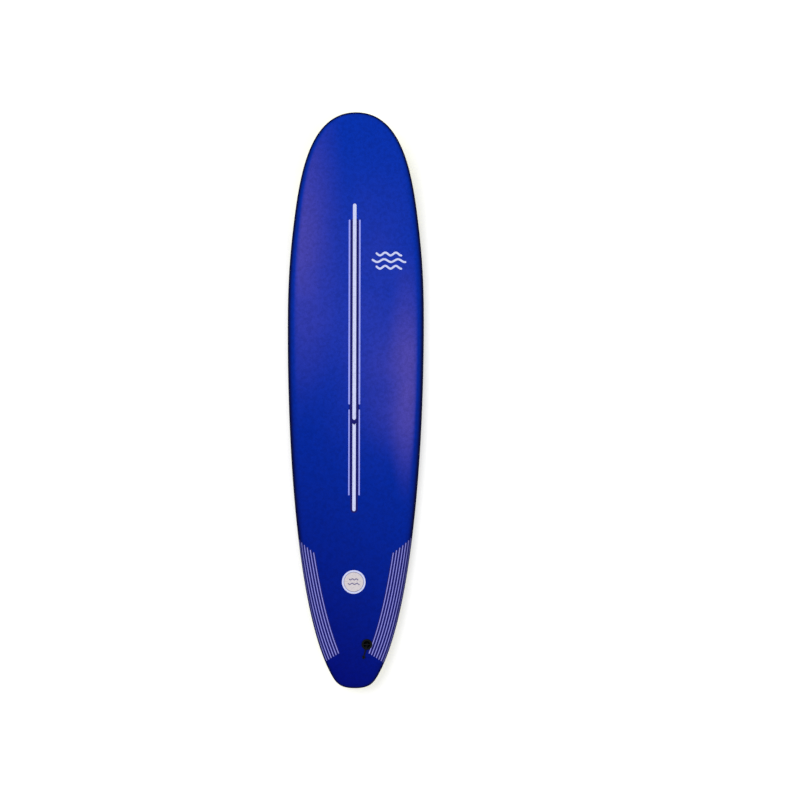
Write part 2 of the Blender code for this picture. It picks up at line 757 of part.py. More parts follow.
def cup_mesh():
    """Turned cup: a round-lipped flange, straight walls and a dished floor."""
    top = LEASH_FLANGE_PROUD
    under = top - LEASH_FLANGE_THICKNESS
    inner = LEASH_CUP_RADIUS - LEASH_CUP_WALL
    floor = LEASH_CUP_WALL - LEASH_CUP_DEPTH
    lip = LEASH_LIP_ROUND
    lip_middle = lip * (1 - math.sqrt(0.5))
    dish = [
        (inner - LEASH_DISH_RUN * (1 - math.cos(turn)), floor + LEASH_DISH_RISE * (1 - math.sin(turn)))
        for turn in (0, math.pi / 4, math.pi / 2)
    ]
    profile = [
        (LEASH_HUB_RADIUS, -LEASH_CUP_DEPTH),
        (LEASH_CUP_RADIUS - lip, -LEASH_CUP_DEPTH),
        (LEASH_CUP_RADIUS, lip - LEASH_CUP_DEPTH),
        (LEASH_CUP_RADIUS, under),
        (LEASH_FLANGE_RADIUS, under),
        (LEASH_FLANGE_RADIUS, top - lip),
        (LEASH_FLANGE_RADIUS - lip, top),
        (inner + lip, top),
        (inner + lip_middle, top - lip_middle),
        (inner, top - lip),
        *dish,
        (LEASH_HUB_RADIUS, floor),
    ]
    return mesh_from(turned(profile), smooth=True)


def build_leash_plug(surface, layers, pieces, volume):
    """Cup, bar and block, seated on the deck, and the holes they need."""
    y = LEASH_FROM_TAIL - HALF_LENGTH
    reach = LEASH_FLANGE_RADIUS
    seat = surface.seat("leash_seat", LEASH_OFFSET, y, 0.0, reach, reach, 1)

    def round_cut(name, radius, depth):
        mesh = mesh_from(prism(circle(radius + GAP), -depth - GAP, CUT_PAST))
        return hide_guide(add_object(name, mesh, parent=seat))

    sunk = LEASH_FLANGE_THICKNESS - LEASH_FLANGE_PROUD
    flange_cut = round_cut("leash_flange_cut", LEASH_FLANGE_RADIUS, sunk)
    cup_cut = round_cut("leash_cup_cut", LEASH_CUP_RADIUS, LEASH_CUP_DEPTH)
    block_radius = LEASH_CUP_RADIUS + LEASH_BLOCK_WALL
    block_depth = LEASH_CUP_DEPTH + LEASH_BLOCK_FLOOR
    block_cut = round_cut("leash_block_cut", block_radius, block_depth)
    boolean(layers["deck_skin"], flange_cut, "DIFFERENCE")
    boolean(layers["deck_skin"], cup_cut, "DIFFERENCE")
    boolean(layers["deck_laminate"], cup_cut, "DIFFERENCE")
    for piece in pieces.values():
        boolean(piece, block_cut, "DIFFERENCE")

    block_mesh = mesh_from(prism(circle(block_radius), -block_depth, CUT_PAST))
    block = add_object("leash_block", block_mesh, "dense_foam", seat)
    boolean(block, volume, "INTERSECT")
    boolean(block, cup_cut, "DIFFERENCE")

    bar_pose = Matrix.Translation((0, 0, -LEASH_BAR_DEPTH)) @ Matrix.Rotation(math.pi / 2, 4, "Y")
    cup = add_object("leash_cup", cup_mesh(), "plug_plastic", seat)
    hole_outline = circle(LEASH_BAR_DIAMETER / 2 + GAP, SCREW_SIDES)
    past_cup = LEASH_CUP_RADIUS + CUT_PAST
    hole_mesh = mesh_from(prism(hole_outline, -past_cup, past_cup))
    hole = hide_guide(add_object("leash_bar_cut", hole_mesh, parent=seat))
    hole.matrix_local = bar_pose
    boolean(cup, hole, "DIFFERENCE")

    half_bar = LEASH_CUP_RADIUS - GAP
    outline = circle(LEASH_BAR_DIAMETER / 2, SCREW_SIDES)
    bar_mesh = mesh_from(prism(outline, -half_bar, half_bar), smooth=True)
    bar = add_object("leash_bar", bar_mesh, "steel", seat)
    bar.matrix_local = bar_pose
    return seat


# Leash string


def smooth_route(route, spacing):
    """Points of a Catmull-Rom curve through a route, a steady distance apart."""
    ends = [2 * route[0] - route[1], *route, 2 * route[-1] - route[-2]]
    fine = []
    for before, start, end, after in zip(ends, ends[1:], ends[2:], ends[3:]):
        for step in range(ROUTE_SUBSTEPS):
            t = step / ROUTE_SUBSTEPS
            cubic = 3 * (start - end) + after - before
            square = 2 * before - 5 * start + 4 * end - after
            fine.append(start + (t * (end - before) + t**2 * square + t**3 * cubic) / 2)
    fine.append(route[-1])

    run = np.cumsum([0.0] + [(b - a).length for a, b in zip(fine, fine[1:])])
    stops = np.linspace(0, run[-1], round(run[-1] / spacing) + 1)
    columns = np.array(fine).T
    return [Vector(point) for point in zip(*[np.interp(stops, run, column) for column in columns])]


def tube(name, points, diameter, cyclic, finish, parent):
    """Round cord through points, with filled ends."""
    curve = bpy.data.curves.new(name, "CURVE")
    curve.dimensions = "3D"
    curve.bevel_depth = diameter / 2
    curve.bevel_resolution = 2
    curve.use_fill_caps = not cyclic
    spline = curve.splines.new("POLY")
    spline.points.add(len(points) - 1)
    for spot, point in zip(spline.points, points):
        spot.co = (*point, 1.0)
    spline.use_cyclic_u = cyclic
    spline.use_smooth = True
    return add_object(name, curve, finish, parent)


def knot_points():
    """Closed strand of the overhand knot, lying flat on the deck."""
    lift = KNOT_WEAVE_RADIUS + KNOT_STRAND_DIAMETER / 2 + GAP
    points = []
    for step in range(KNOT_STEPS):
        turn = 2 * math.pi * step / KNOT_STEPS
        weave = KNOT_CROSSINGS * turn
        out = KNOT_RING_RADIUS + KNOT_WEAVE_RADIUS * math.cos(weave)
        around = KNOT_TURNS * turn - math.pi / 2
        x = out * math.cos(around)
        y = out * math.sin(around) - KNOT_CENTRE_FROM_PLUG
        points.append(Vector((x, y, lift + KNOT_WEAVE_RADIUS * math.sin(weave))))
    return points


def build_string(seat):
    """The string round the bar and its knot, swung to one side of the tail."""
    swing = add_object("string_swing", None, parent=seat)
    swing.rotation_euler = (0, 0, -STRING_SWING)
    route = [Vector(point) / 1000 for point in STRING_ROUTE_MM]
    points = smooth_route(route, STRING_POINT_SPACING)
    tube("leash_string", points, STRING_DIAMETER, False, "cord", swing)
    tube("leash_knot", knot_points(), KNOT_STRAND_DIAMETER, True, "cord", swing)


def main():
    clear_scene()
    grid = HullGrid()
    surface = Surface(grid)
    layers = build_layers(grid)
    pieces, volume = build_core(grid)
    build_fins(grid, surface, layers, pieces, volume)
    seat = build_leash_plug(surface, layers, pieces, volume)
    build_string(seat)


main()
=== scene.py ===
"""Looks of the soft-top surfboard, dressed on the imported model.

The deck skin and the slick bottom are made again on the hull's own curves with finer steps.
The prints are thin films that follow them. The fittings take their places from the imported
model. Sizes are in metres.
"""
import json
from math import atan2, cos, pi, radians, sin

import bmesh
import bpy
import numpy as np
from mathutils import Matrix, Vector
from mathutils.bvhtree import BVHTree


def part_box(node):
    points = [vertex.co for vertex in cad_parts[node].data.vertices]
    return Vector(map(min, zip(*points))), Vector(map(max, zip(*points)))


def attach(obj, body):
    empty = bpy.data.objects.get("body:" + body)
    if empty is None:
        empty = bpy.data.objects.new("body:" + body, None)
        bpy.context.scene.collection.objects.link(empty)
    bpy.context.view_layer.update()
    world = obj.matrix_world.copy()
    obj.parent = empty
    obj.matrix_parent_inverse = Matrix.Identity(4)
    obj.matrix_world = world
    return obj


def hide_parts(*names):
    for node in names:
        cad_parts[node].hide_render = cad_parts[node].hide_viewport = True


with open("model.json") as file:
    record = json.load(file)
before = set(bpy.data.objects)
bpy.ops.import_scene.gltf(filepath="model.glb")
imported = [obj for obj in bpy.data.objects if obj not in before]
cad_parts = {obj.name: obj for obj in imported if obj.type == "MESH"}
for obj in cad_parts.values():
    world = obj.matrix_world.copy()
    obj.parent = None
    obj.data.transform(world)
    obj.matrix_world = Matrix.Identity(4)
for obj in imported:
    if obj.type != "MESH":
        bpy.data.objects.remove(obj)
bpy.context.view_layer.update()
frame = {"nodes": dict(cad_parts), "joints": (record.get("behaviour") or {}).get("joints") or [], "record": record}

MOUNTS = {mount["name"]: mount for mount in frame["record"]["mounts"]}
JOINT_AXES = {joint["child"]: Vector(joint["axis"]) for joint in frame["joints"]}

# Photograph: a square of 800 pixels, and where the board's middle lies in it
PHOTO_PX = 800
BOARD_MIDDLE_PX = (355.62, 400.85)
METRES_PER_PX = 0.004245
LENS_MM = 250.0
SENSOR_MM = 36.0
CLIP_END = 200
CAMERA_ROLL = radians(0.16)

# Studio: lamps as (azimuth from +Y towards +X, elevation, strength, spread), angles in degrees
LAMPS = {"key": (-50, 52, 1.25, 50), "fill": (120, 45, 0.55, 70)}
DOME_STRENGTH = 0.55
FLOOR_REACH = 60
FLOOR_COLOUR = (0.84, 0.84, 0.84, 1)
FLOOR_LIFT = 0.38

# Plan outline: handles are the lengths of the curves' handles
HALF_LENGTH = 1.219
HALF_WIDTH = 0.289
NOSE_TIP_HANDLE = 0.202
SHOULDER_FROM_NOSE = 0.481
SHOULDER_HALF_WIDTH = 0.266
SHOULDER_LEAN = radians(6.9)
SHOULDER_NOSE_HANDLE = 0.210
SHOULDER_SIDE_HANDLE = 0.154
WIDE_POINT_FROM_NOSE = 0.907
NOSE_SIDE_HANDLE = 0.160
TAIL_SIDE_HANDLE = 0.575
TAIL_CORNER_HALF_WIDTH = 0.100
TAIL_CORNER_RISE = 0.058
TAIL_CORNER_LEAN = radians(29.0)
TAIL_CORNER_HANDLE = 0.283
TAIL_ROUND_HANDLE = 0.040
TAIL_BLOCK_HANDLE = 0.064

# Side view and cross-section: rockers are (rise, start, power), and pairs are nose, tail
BOARD_THICKNESS = 0.083
NOSE_ROCKER = (0.125, 0.25, 2.4)
TAIL_ROCKER = (0.052, 0.30, 2.2)
TIP_THICKNESSES = (0.038, 0.036)
FOIL_POWER = 2.6
RAIL_APEX_SHARE = 0.45
UPPER_ROLL_SHARE = 1.5
LOWER_ROLL_SHARE = 0.75
CROWN_SHARE = 0.15
SPINE_INSETS = (0.115, 0.080)

# Skins
GAP = 0.0003
DECK_SKIN_THICKNESS = 0.0040
SLICK_THICKNESS = 0.0018
SEAM_INSET = 0.012
SEAM_GAP = 0.0005
SEAM_ROUND = 0.0006
FLAT_START_SHARE = 1.1

# Fineness of the smooth hull
NOSE_STEPS = 48
SHOULDER_STEPS = 24
SIDE_STEPS = 60
TAIL_STEPS = 30
CROWN_STEPS = 8
ROLL_STEPS = 16
RIM_SHARES = (0.02, 0.06, 0.14, 0.26, 0.42, 0.62, 0.82)
FLAT_SHARES = (0.15, 0.35, 0.6, 0.85, 1.0)
SLICK_STEPS = 6
EDGE_STEPS = 4

# Foam and inks: patterns in cells a metre; rail shade limits are of how squarely a surface faces up
# Painted shade on the rail fades out between the rail shade limits
EMBOSS_CELLS = 330
EMBOSS_LIMITS = (0.10, 0.70)
PORE_CELLS = 1700
PORE_DEPTH_SHARE = 0.6
DECK_EMBOSS_DEPTH = 0.00016
DECK_RAIL_SHADE_LIMITS = (0.60, 0.96)
MOTTLE_CELLS = 70
MOTTLE_SHADE = 0.18
EMBOSS_SHADE = 0.14
INK_EMBOSS_DEPTH = 0.00010
INK_RAIL_SHADE_LIMITS = (0.62, 0.92)
INK_WEAR_CELLS = 160
INK_WORN = 0.78

# Painted shade that deepens the deck's blue towards the tail
TAIL_SHADE_START = 0.30
TAIL_SHADE_SKEW = 0.6
# Painted sheen: clouded lilac patches as (middle, reach, share)
SHEEN_PATCHES = (
    ((0.056, 0.414), (0.378, 0.814), 0.22),
    ((-0.249, 0.734), (0.229, 0.902), 0.76),
    ((0.279, 0.056), (0.336, 0.381), 0.64),
    ((0.221, 0.089), (0.107, 0.567), 1.00),
)
SHEEN_CLOUD_CELLS = 4.0
SHEEN_CLOUD_LIMITS = (0.15, 0.70)
SHEEN_CLOUD_SHARES = (0.45, 1.0)
SHEEN_FLAT_LIMITS = (0.88, 0.98)
NOSE_RISE_START = 0.35
NOSE_RISE = 0.21

# Prints on the deck: strips are (span measured from the nose, half width)
PRINT_SHIFT = -0.0055
GROUND = ((0.447, 1.627), 0.0205)
EDGING = ((1.600, 1.695), 0.0160)
BROAD_STRIPS = (((0.3845, 1.301), 0.0075), ((1.315, 1.687), 0.0070))
FINE_STRIPS = (((0.452, 1.235), 0.0034), ((1.256, 1.620), 0.0028))
FINE_OFFSET = 0.0217

# Lines by the tail's rails: side, insets of the innermost one at both ends, and number.
# Their ends are places along the board, each with its step to the next line.
TAIL_LINES = {"left": (-1, (0.0570, 0.0670), 6), "right": (1, (0.0712, 0.0748), 7)}
TAIL_LINE_HALF_WIDTH = 0.0019
TAIL_LINE_SPACING = 0.0121
TAIL_LINE_ENDS = ((-0.6434, 0.0104), (-1.071, -0.0064))

# Badge and mark: waves are (offset, length) rows, with a height and a half width
BADGE_FROM_NOSE = 1.987
BADGE_RADIUS = 0.050
BADGE_RING_RADII = (0.0405, 0.0425)
MARK_PLACE = (0.140, 0.594)
BADGE_WAVES = (((0.011, 0.040), (-0.008, 0.050)), 0.0025, 0.0022)
MARK_WAVES = (((0.028, 0.112), (0.0, 0.146), (-0.028, 0.112)), 0.0060, 0.0042)
WAVE_CRESTS = 2.5
WAVE_SHIFT = 0.35
WAVE_POINTS = 61
WAVE_STEP = 0.0015

# Prints on the bottom
BOTTOM_BROAD = ((0.362, 1.278), 0.0080)
BOTTOM_FINE = ((0.430, 1.210), 0.0025)
BOTTOM_FINE_OFFSET = 0.022

# Print films
PRINT_LIFT = 0.00012
PRINT_LAYER = 0.00007
PRINT_SUNK = 0.00030
PRINT_STEP = 0.012
PRINT_COLUMNS = 9
POINT_REACH = 1.1
POINT_BLUNTNESS = 0.25
RING_SIDES = 72
DISC_CENTRE_SHARE = 0.02
INSET_STEPS = 80
CLIP_POINTS = 60

# Leash plug
PLUG_PROUD = 0.002
PLUG_FLANGE_RADIUS = 0.023
PLUG_FLANGE_THICKNESS = 0.003
PLUG_CUP_RADIUS = 0.017
PLUG_CUP_WALL = 0.003
PLUG_CUP_DEPTH = 0.022
PLUG_LIP_ROUND = 0.0012
PLUG_DISH_RISE = 0.0047
PLUG_DISH_RUN = 0.0056
PLUG_HUB_RADIUS = 0.0035
PLUG_DISH_POINTS = 9
PLUG_SIDES = 96
BAR_DIAMETER = 0.005
BAR_DEPTH = 0.008
BAR_CHAMFER = 0.0004
BAR_SIDES = 32

# String: a cord doubled round the bar and knotted on the deck, in the plug's own frame
STRING_DIAMETER = 0.0028
STRING_SWING = radians(14.0)
STRING_ROUTE_MM = [
    (-1.9, -48.9, 1.9), (-1.9, -44.4, 1.8), (-1.9, -39.5, 1.8), (-1.9, -34.5, 1.8),
    (-1.9, -29.5, 2.2), (-1.9, -24.5, 3.7), (-1.9, -19.5, 4.3), (-1.9, -14.5, 3.5),
    (-1.9, -10.2, 0.1), (-1.9, -7.6, -4.7), (-1.7, -6.4, -10.0), (-1.2, -4.5, -14.5),
    (-0.5, 0.0, -16.4), (0.2, 4.5, -14.5), (0.8, 6.4, -10.0), (1.4, 4.5, -5.5),
    (1.8, 0.0, -3.6), (1.9, -5.0, -2.4), (1.9, -10.0, 0.8), (1.9, -14.6, 3.7),
    (1.9, -19.5, 4.3), (1.9, -24.5, 3.7), (1.9, -29.5, 2.2), (1.9, -34.5, 1.8),
    (1.9, -39.5, 1.8), (1.9, -44.4, 1.8), (1.9, -48.9, 1.9),
]
ROUTE_SUBSTEPS = 24
KNOT_CENTRE_FROM_PLUG = 0.0556
KNOT_RING_RADIUS = 0.0040
KNOT_WEAVE_RADIUS = 0.0021
KNOT_TURNS = 2
KNOT_CROSSINGS = 3
KNOT_STEPS = 240
BRAID_STRANDS = 8
BRAID_PITCH = 0.0076
BRAID_DEPTH = 0.00012
BRAID_SIDES = 24
BRAID_STEP = 0.0003

# Fin boxes and their screws, in each box's own frame
FIN_FLANGE = (0.157, 0.040, 0.010)
FIN_FLANGE_THICKNESS = 0.0025
FIN_BODY = (0.145, 0.026, 0.008)
FIN_BODY_DEPTH = 0.024
FIN_BODY_DRAFT = 0.0015
FIN_SLOT = (0.115, 0.0072, 0.0033)
FIN_SLOT_DEPTH = 0.019
FIN_SLOT_SETBACK = 0.006
FIN_EDGE_ROUND = 0.0007
FIN_MOUTH_LIFT = 0.00003
CORNER_STEPS = 10
SCREW_DIAMETER = 0.005
SCREW_LENGTH = 0.012
SCREW_POINT = 0.0015
SCREW_SOCKET = 0.0025
SCREW_SOCKET_DEPTH = 0.003
SCREW_RECESS = 0.0025
SCREW_LEAN = radians(35.0)
SCREW_AHEAD_OF_SLOT = 0.010
SCREW_HOLE_DEPTH = 0.020
SCREW_HOLE_SIDES = 40
THREAD_PITCH = 0.0008
THREAD_DEPTH = 0.00032
THREAD_SIDES = 24
THREAD_RINGS_A_TURN = 8

CUT_PAST = 0.010
SMOOTH_ANGLE = radians(35.0)

# Span of most of a noise, and a Mix node's colour sockets
NOISE_LIMITS = (0.3, 0.7)
MIX_LOW, MIX_HIGH, MIX_RESULT = 6, 7, 2


def srgb(red, green, blue):
    """Linear colour of an 8-bit screen colour."""
    shares = [value / 255 for value in (red, green, blue)]
    return tuple(s / 12.92 if s <= 0.04045 else ((s + 0.055) / 1.055) ** 2.4 for s in shares)


DECK_BLUE = srgb(4, 52, 182)
# Lilac of the painted sheen patches
SHEEN_LILAC = srgb(84, 76, 180)
# Deeper blue of the painted shade towards the tail
DECK_TAIL_SHADE = srgb(0, 12, 122)
# Navy of the painted shade on the rail, and of the foam's mottle and emboss tone
DECK_NAVY = srgb(0, 2, 52)

# Inks as (colour, share of painted shade on the rail)
INKS = {
    "pale": (srgb(210, 216, 252), 0.0),
    "lilac": (srgb(152, 162, 248), 0.0),
    "tail": (srgb(142, 144, 228), 0.75),
    "navy": (srgb(16, 15, 104), 0.0),
    "field": (srgb(216, 208, 212), 0.0),
    "grey": (srgb(118, 112, 150), 0.0),
}


# Nodes and objects


def add(tree, kind, inputs=None, **settings):
    """Outputs of a new shader node; each input is a value, or a socket to link."""
    node = tree.nodes.new("ShaderNode" + kind)
    for name, value in settings.items():
        setattr(node, name, value)
    for name, value in (inputs or {}).items():
        if isinstance(value, bpy.types.NodeSocket):
            tree.links.new(value, node.inputs[name])
        else:
            node.inputs[name].default_value = value
    return node.outputs


def calc(tree, operation, *values):
    """Result of a Math node."""
    return add(tree, "Math", dict(enumerate(values)), operation=operation)[0]


def add_object(name, data):
    """New object in the scene."""
    made = bpy.data.objects.new(name, data)
    bpy.context.scene.collection.objects.link(made)
    return made


# Camera, light and floor


def add_camera():
    """Long lens straight above the board."""
    data = bpy.data.cameras.new("camera")
    data.lens = LENS_MM
    data.sensor_width = SENSOR_MM
    data.clip_end = CLIP_END
    camera = add_object("camera", data)
    distance = PHOTO_PX * METRES_PER_PX * LENS_MM / SENSOR_MM
    camera.location = (
        (PHOTO_PX / 2 - BOARD_MIDDLE_PX[0]) * METRES_PER_PX,
        (BOARD_MIDDLE_PX[1] - PHOTO_PX / 2) * METRES_PER_PX,
        RAIL_APEX_SHARE * BOARD_THICKNESS + distance,
    )
    camera.rotation_euler = (0, 0, CAMERA_ROLL)
    bpy.context.scene.camera = camera


def add_sun(name, azimuth, elevation, strength, spread):
    """Wide soft sun."""
    data = bpy.data.lights.new(name, "SUN")
    data.energy = strength
    data.angle = radians(spread)
    turn, rise = radians(azimuth), radians(elevation)
    towards = Vector((sin(turn) * cos(rise), cos(turn) * cos(rise), sin(rise)))
    add_object(name, data).rotation_euler = towards.to_track_quat("Z", "Y").to_euler()


def seen_directly(tree):
    """1 for camera, glossy and transmission rays, and 0 for the rays that light the object."""
    rays = add(tree, "LightPath")
    shine = calc(tree, "MAXIMUM", rays["Is Glossy Ray"], rays["Is Transmission Ray"])
    return calc(tree, "MAXIMUM", rays["Is Camera Ray"], shine)


def add_world():
    """White where it is seen, and a dimmer dome where it lights."""
    world = bpy.data.worlds.new("studio")
    world.use_nodes = True
    tree = world.node_tree
    inputs = {"Value": seen_directly(tree), "To Min": DOME_STRENGTH, "To Max": 1.0}
    strength = add(tree, "MapRange", inputs)[0]
    background = tree.nodes["Background"]
    background.inputs["Color"].default_value = (1, 1, 1, 1)
    tree.links.new(strength, background.inputs["Strength"])
    bpy.context.scene.world = world


def add_floor():
    """Pale floor that keeps the shadow, and isn't there when seen from below."""
    data = bpy.data.meshes.new("floor")
    corners = ((-1, -1, 0), (1, -1, 0), (1, 1, 0), (-1, 1, 0))
    data.from_pydata([FLOOR_REACH * Vector(corner) for corner in corners], [], [(0, 1, 2, 3)])
    floor = add_object("floor", data)
    made = bpy.data.materials.new("floor")
    made.use_nodes = True
    tree = made.node_tree
    tree.nodes.clear()
    paper = add(tree, "BsdfDiffuse", {"Color": FLOOR_COLOUR})[0]
    lift = add(tree, "Emission", {"Color": (1, 1, 1, 1), "Strength": FLOOR_LIFT})[0]
    lifted = add(tree, "AddShader", {0: paper, 1: lift})[0]
    shown = add(tree, "MixShader", {0: seen_directly(tree), 1: paper, 2: lifted})[0]
    from_below = add(tree, "NewGeometry")["Backfacing"]
    clear = add(tree, "BsdfTransparent")[0]
    both = add(tree, "MixShader", {0: from_below, 1: shown, 2: clear})[0]
    add(tree, "OutputMaterial", {"Surface": both})
    data.materials.append(made)


# Node materials


class Paint:
    """A Principled material and the pattern nodes that the materials share."""

    def __init__(self, name, metallic=0.0, specular=0.5):
        self.material = bpy.data.materials.new(name)
        self.material.use_nodes = True
        self.tree = self.material.node_tree
        self.shader = self.tree.nodes["Principled BSDF"]
        self.shader.inputs["Metallic"].default_value = metallic
        self.shader.inputs["Specular IOR Level"].default_value = specular
        self.place = add(self.tree, "TexCoord")["Object"]

    def noise(self, scale, detail=2.0, squeeze=None):
        """Noise with so many cells a metre, perhaps squeezed by a factor on each axis."""
        at = self.place
        if squeeze:
            at = add(self.tree, "Mapping", {"Vector": at, "Scale": squeeze})[0]
        inputs = {"Vector": at, "Scale": scale, "Detail": detail}
        return add(self.tree, "TexNoise", inputs)[0]

    def cells(self, scale):
        """Distance to the middle of a cell, with so many cells a metre."""
        inputs = {"Vector": self.place, "Scale": scale}
        return add(self.tree, "TexVoronoi", inputs, feature="SMOOTH_F1")[0]

    def part(self, axis):
        """One coordinate of the place."""
        return add(self.tree, "SeparateXYZ", {0: self.place})[axis]

    def ramp(self, value, low, high, to_low=0.0, to_high=1.0, linear=False):
        """Step of a value from one range to another, smooth unless it is linear."""
        inputs = {"Value": value, "From Min": low, "From Max": high}
        inputs |= {"To Min": to_low, "To Max": to_high}
        kind = "LINEAR" if linear else "SMOOTHSTEP"
        return add(self.tree, "MapRange", inputs, interpolation_type=kind)[0]

    def vector(self, operation, *values):
        """Outputs of a Vector Math node."""
        return add(self.tree, "VectorMath", dict(enumerate(values)), operation=operation)

    def facing(self):
        """How squarely the surface faces up, with the rise of the nose taken off."""
        limits = (NOSE_RISE_START, HALF_LENGTH, 0.0, -NOSE_RISE)
        rise = self.ramp(self.part("Y"), *limits, linear=True)
        up = add(self.tree, "CombineXYZ", {"Y": rise, "Z": 1.0})[0]
        normal = add(self.tree, "TexCoord")["Normal"]
        return self.vector("DOT_PRODUCT", normal, self.vector("NORMALIZE", up)[0])["Value"]

    def painted_sheen(self, centre, reach, share):
        """Painted sheen round a place in plan: its share in the middle, and nothing at its reach."""
        scale = [1 / length for length in reach]
        offset = [-middle * factor for middle, factor in zip(centre, scale)]
        inputs = {"Vector": self.place, "Location": (*offset, 0), "Scale": (*scale, 0)}
        away = add(self.tree, "Mapping", inputs)[0]
        return self.ramp(self.vector("LENGTH", away)["Value"], 0.0, 1.0, share, 0.0)

    def mix(self, share, low, high):
        """Blend of two colours, each a colour or a socket."""
        low, high = (c if isinstance(c, bpy.types.NodeSocket) else (*c, 1.0) for c in (low, high))
        inputs = {0: share, MIX_LOW: low, MIX_HIGH: high}
        return add(self.tree, "Mix", inputs, data_type="RGBA")[MIX_RESULT]

    def finish(self, colour, rough, *heights):
        """The material, with its colour, (pattern, low, high) roughness and relief linked.

        The relief is (pattern, depth) pairs, each on top of the last.
        """
        normal = None
        for height, depth in heights:
            inputs = {"Height": height, "Distance": depth}
            if normal:
                inputs["Normal"] = normal
            normal = add(self.tree, "Bump", inputs)[0]
        pattern, low, high = rough
        rough = self.ramp(pattern, *NOISE_LIMITS, low, high)
        for name, value in (("Base Color", colour), ("Roughness", rough), ("Normal", normal)):
            self.tree.links.new(value, self.shader.inputs[name])
        return self.material


def darker(colour, share):
    """A colour with a share of its light."""
    return tuple(channel * share for channel in colour)


def foam_relief(paint, depth):
    """Closed-cell foam: a soft leathery emboss with fine pores, as (pattern, depth) pairs."""
    emboss = paint.ramp(paint.cells(EMBOSS_CELLS), *EMBOSS_LIMITS)
    return (emboss, depth), (paint.noise(PORE_CELLS, 1.0), depth * PORE_DEPTH_SHARE)


def deck_material():
    """Royal blue foam, painted shade deeper to the tail and navy under the rail, and painted sheen."""
    paint = Paint("deck_foam", specular=0.03)
    relief = foam_relief(paint, DECK_EMBOSS_DEPTH)
    # Painted shade: the blue deepens towards the tail, reaching further up on the left side
    along = calc(paint.tree, "MULTIPLY_ADD", paint.part("X"), TAIL_SHADE_SKEW, paint.part("Y"))
    tail_shade = paint.ramp(along, TAIL_SHADE_START, -HALF_LENGTH, linear=True)
    colour = paint.mix(tail_shade, DECK_BLUE, DECK_TAIL_SHADE)
    facing = paint.facing()
    # Painted sheen: lilac patches clouded by noise, only where the deck lies flat
    sheen_cloud = paint.ramp(paint.noise(SHEEN_CLOUD_CELLS, 3.0), *SHEEN_CLOUD_LIMITS, *SHEEN_CLOUD_SHARES)
    sheen_cloud = calc(paint.tree, "MULTIPLY", sheen_cloud, paint.ramp(facing, *SHEEN_FLAT_LIMITS))
    for patch in SHEEN_PATCHES:
        painted_sheen = calc(paint.tree, "MULTIPLY", paint.painted_sheen(*patch), sheen_cloud)
        colour = paint.mix(painted_sheen, colour, SHEEN_LILAC)
    # Darker tones: random mottle, the emboss's tone, and painted shade where the skin turns over the rail
    shades = (
        paint.ramp(paint.noise(MOTTLE_CELLS, 4.0), 0.35, 0.70, 0.0, MOTTLE_SHADE),
        paint.ramp(relief[0][0], 0.0, 1.0, 0.0, EMBOSS_SHADE),
        paint.ramp(facing, *DECK_RAIL_SHADE_LIMITS, 1.0, 0.0),
    )
    for shade in shades:
        colour = paint.mix(shade, colour, DECK_NAVY)
    return paint.finish(colour, (paint.noise(22, 3.0), 0.60, 0.74), *relief)


def ink_material(name, colour, rail_shading):
    """Thin ink over foam, a little worn, with the foam's emboss and perhaps painted rail shade."""
    paint = Paint(name, specular=0.10)
    wear = paint.ramp(paint.noise(INK_WEAR_CELLS, 4.0), 0.45, 0.75)
    ink = paint.mix(wear, colour, darker(colour, INK_WORN))
    # Painted shade: the ink goes towards navy where it turns down over the rail
    rail_shade = paint.ramp(paint.facing(), *INK_RAIL_SHADE_LIMITS, rail_shading, 0.0)
    ink = paint.mix(rail_shade, ink, DECK_NAVY)
    return paint.finish(ink, (paint.noise(60), 0.42, 0.56), *foam_relief(paint, INK_EMBOSS_DEPTH))


def slick_material(name, colour, shade):
    """Glossy sheet plastic with faint orange peel and fine scuffs along its length."""
    paint = Paint(name)
    tint = paint.mix(paint.ramp(paint.noise(5, 4.0), 0.35, 0.75), colour, shade)
    scuffs = paint.noise(60, 6.0, squeeze=(30, 1, 1))
    peel, waves = (paint.noise(260), 0.00005), (paint.noise(9), 0.0004)
    return paint.finish(tint, (scuffs, 0.20, 0.36), peel, waves)


def plastic_material(name, colour, roughness, grain, specular=0.5):
    """Moulded plastic with a fine eroded grain."""
    paint = Paint(name, specular=specular)
    shaded = paint.ramp(paint.noise(40, 3.0), 0.3, 0.75)
    tint = paint.mix(shaded, colour, darker(colour, 0.86))
    rough = (paint.noise(120), roughness - 0.05, roughness + 0.07)
    return paint.finish(tint, rough, (paint.noise(grain), 0.00005))


def grain_material(name, low, high, grain, rough, depth, limits=None, **look):
    """One grain, of turned metal, yarn or ply, that tints, roughens and raises the surface."""
    paint = Paint(name, **look)
    grain = paint.noise(*grain)
    share = paint.ramp(grain, *limits) if limits else grain
    return paint.finish(paint.mix(share, low, high), (grain, *rough), (grain, depth))


def bead_material(name, colour, scale):
    """Moulded bead foam: packed cells with darker joints."""
    paint = Paint(name, specular=0.3)
    beads = paint.cells(scale)
    tint = paint.mix(paint.ramp(beads, 0.35, 0.75), colour, darker(colour, 0.72))
    rounds = paint.ramp(beads, 0.2, 0.8, 1.0, 0.0)
    return paint.finish(tint, (beads, 0.78, 0.92), (rounds, 0.0004))


TURNED = {
    "grain": (500, 3.0, (1, 1, 9)), "rough": (0.22, 0.38), "depth": 0.00002, "metallic": 1.0
}
BRAIDED = {"grain": (2600,), "rough": (0.68, 0.88), "depth": 0.00010, "specular": 0.08}
PLY = {
    "grain": (18, 6.0, (14, 1, 14)), "limits": (0.35, 0.7), "rough": (0.58, 0.74),
    "depth": 0.0002, "specular": 0.3,
}

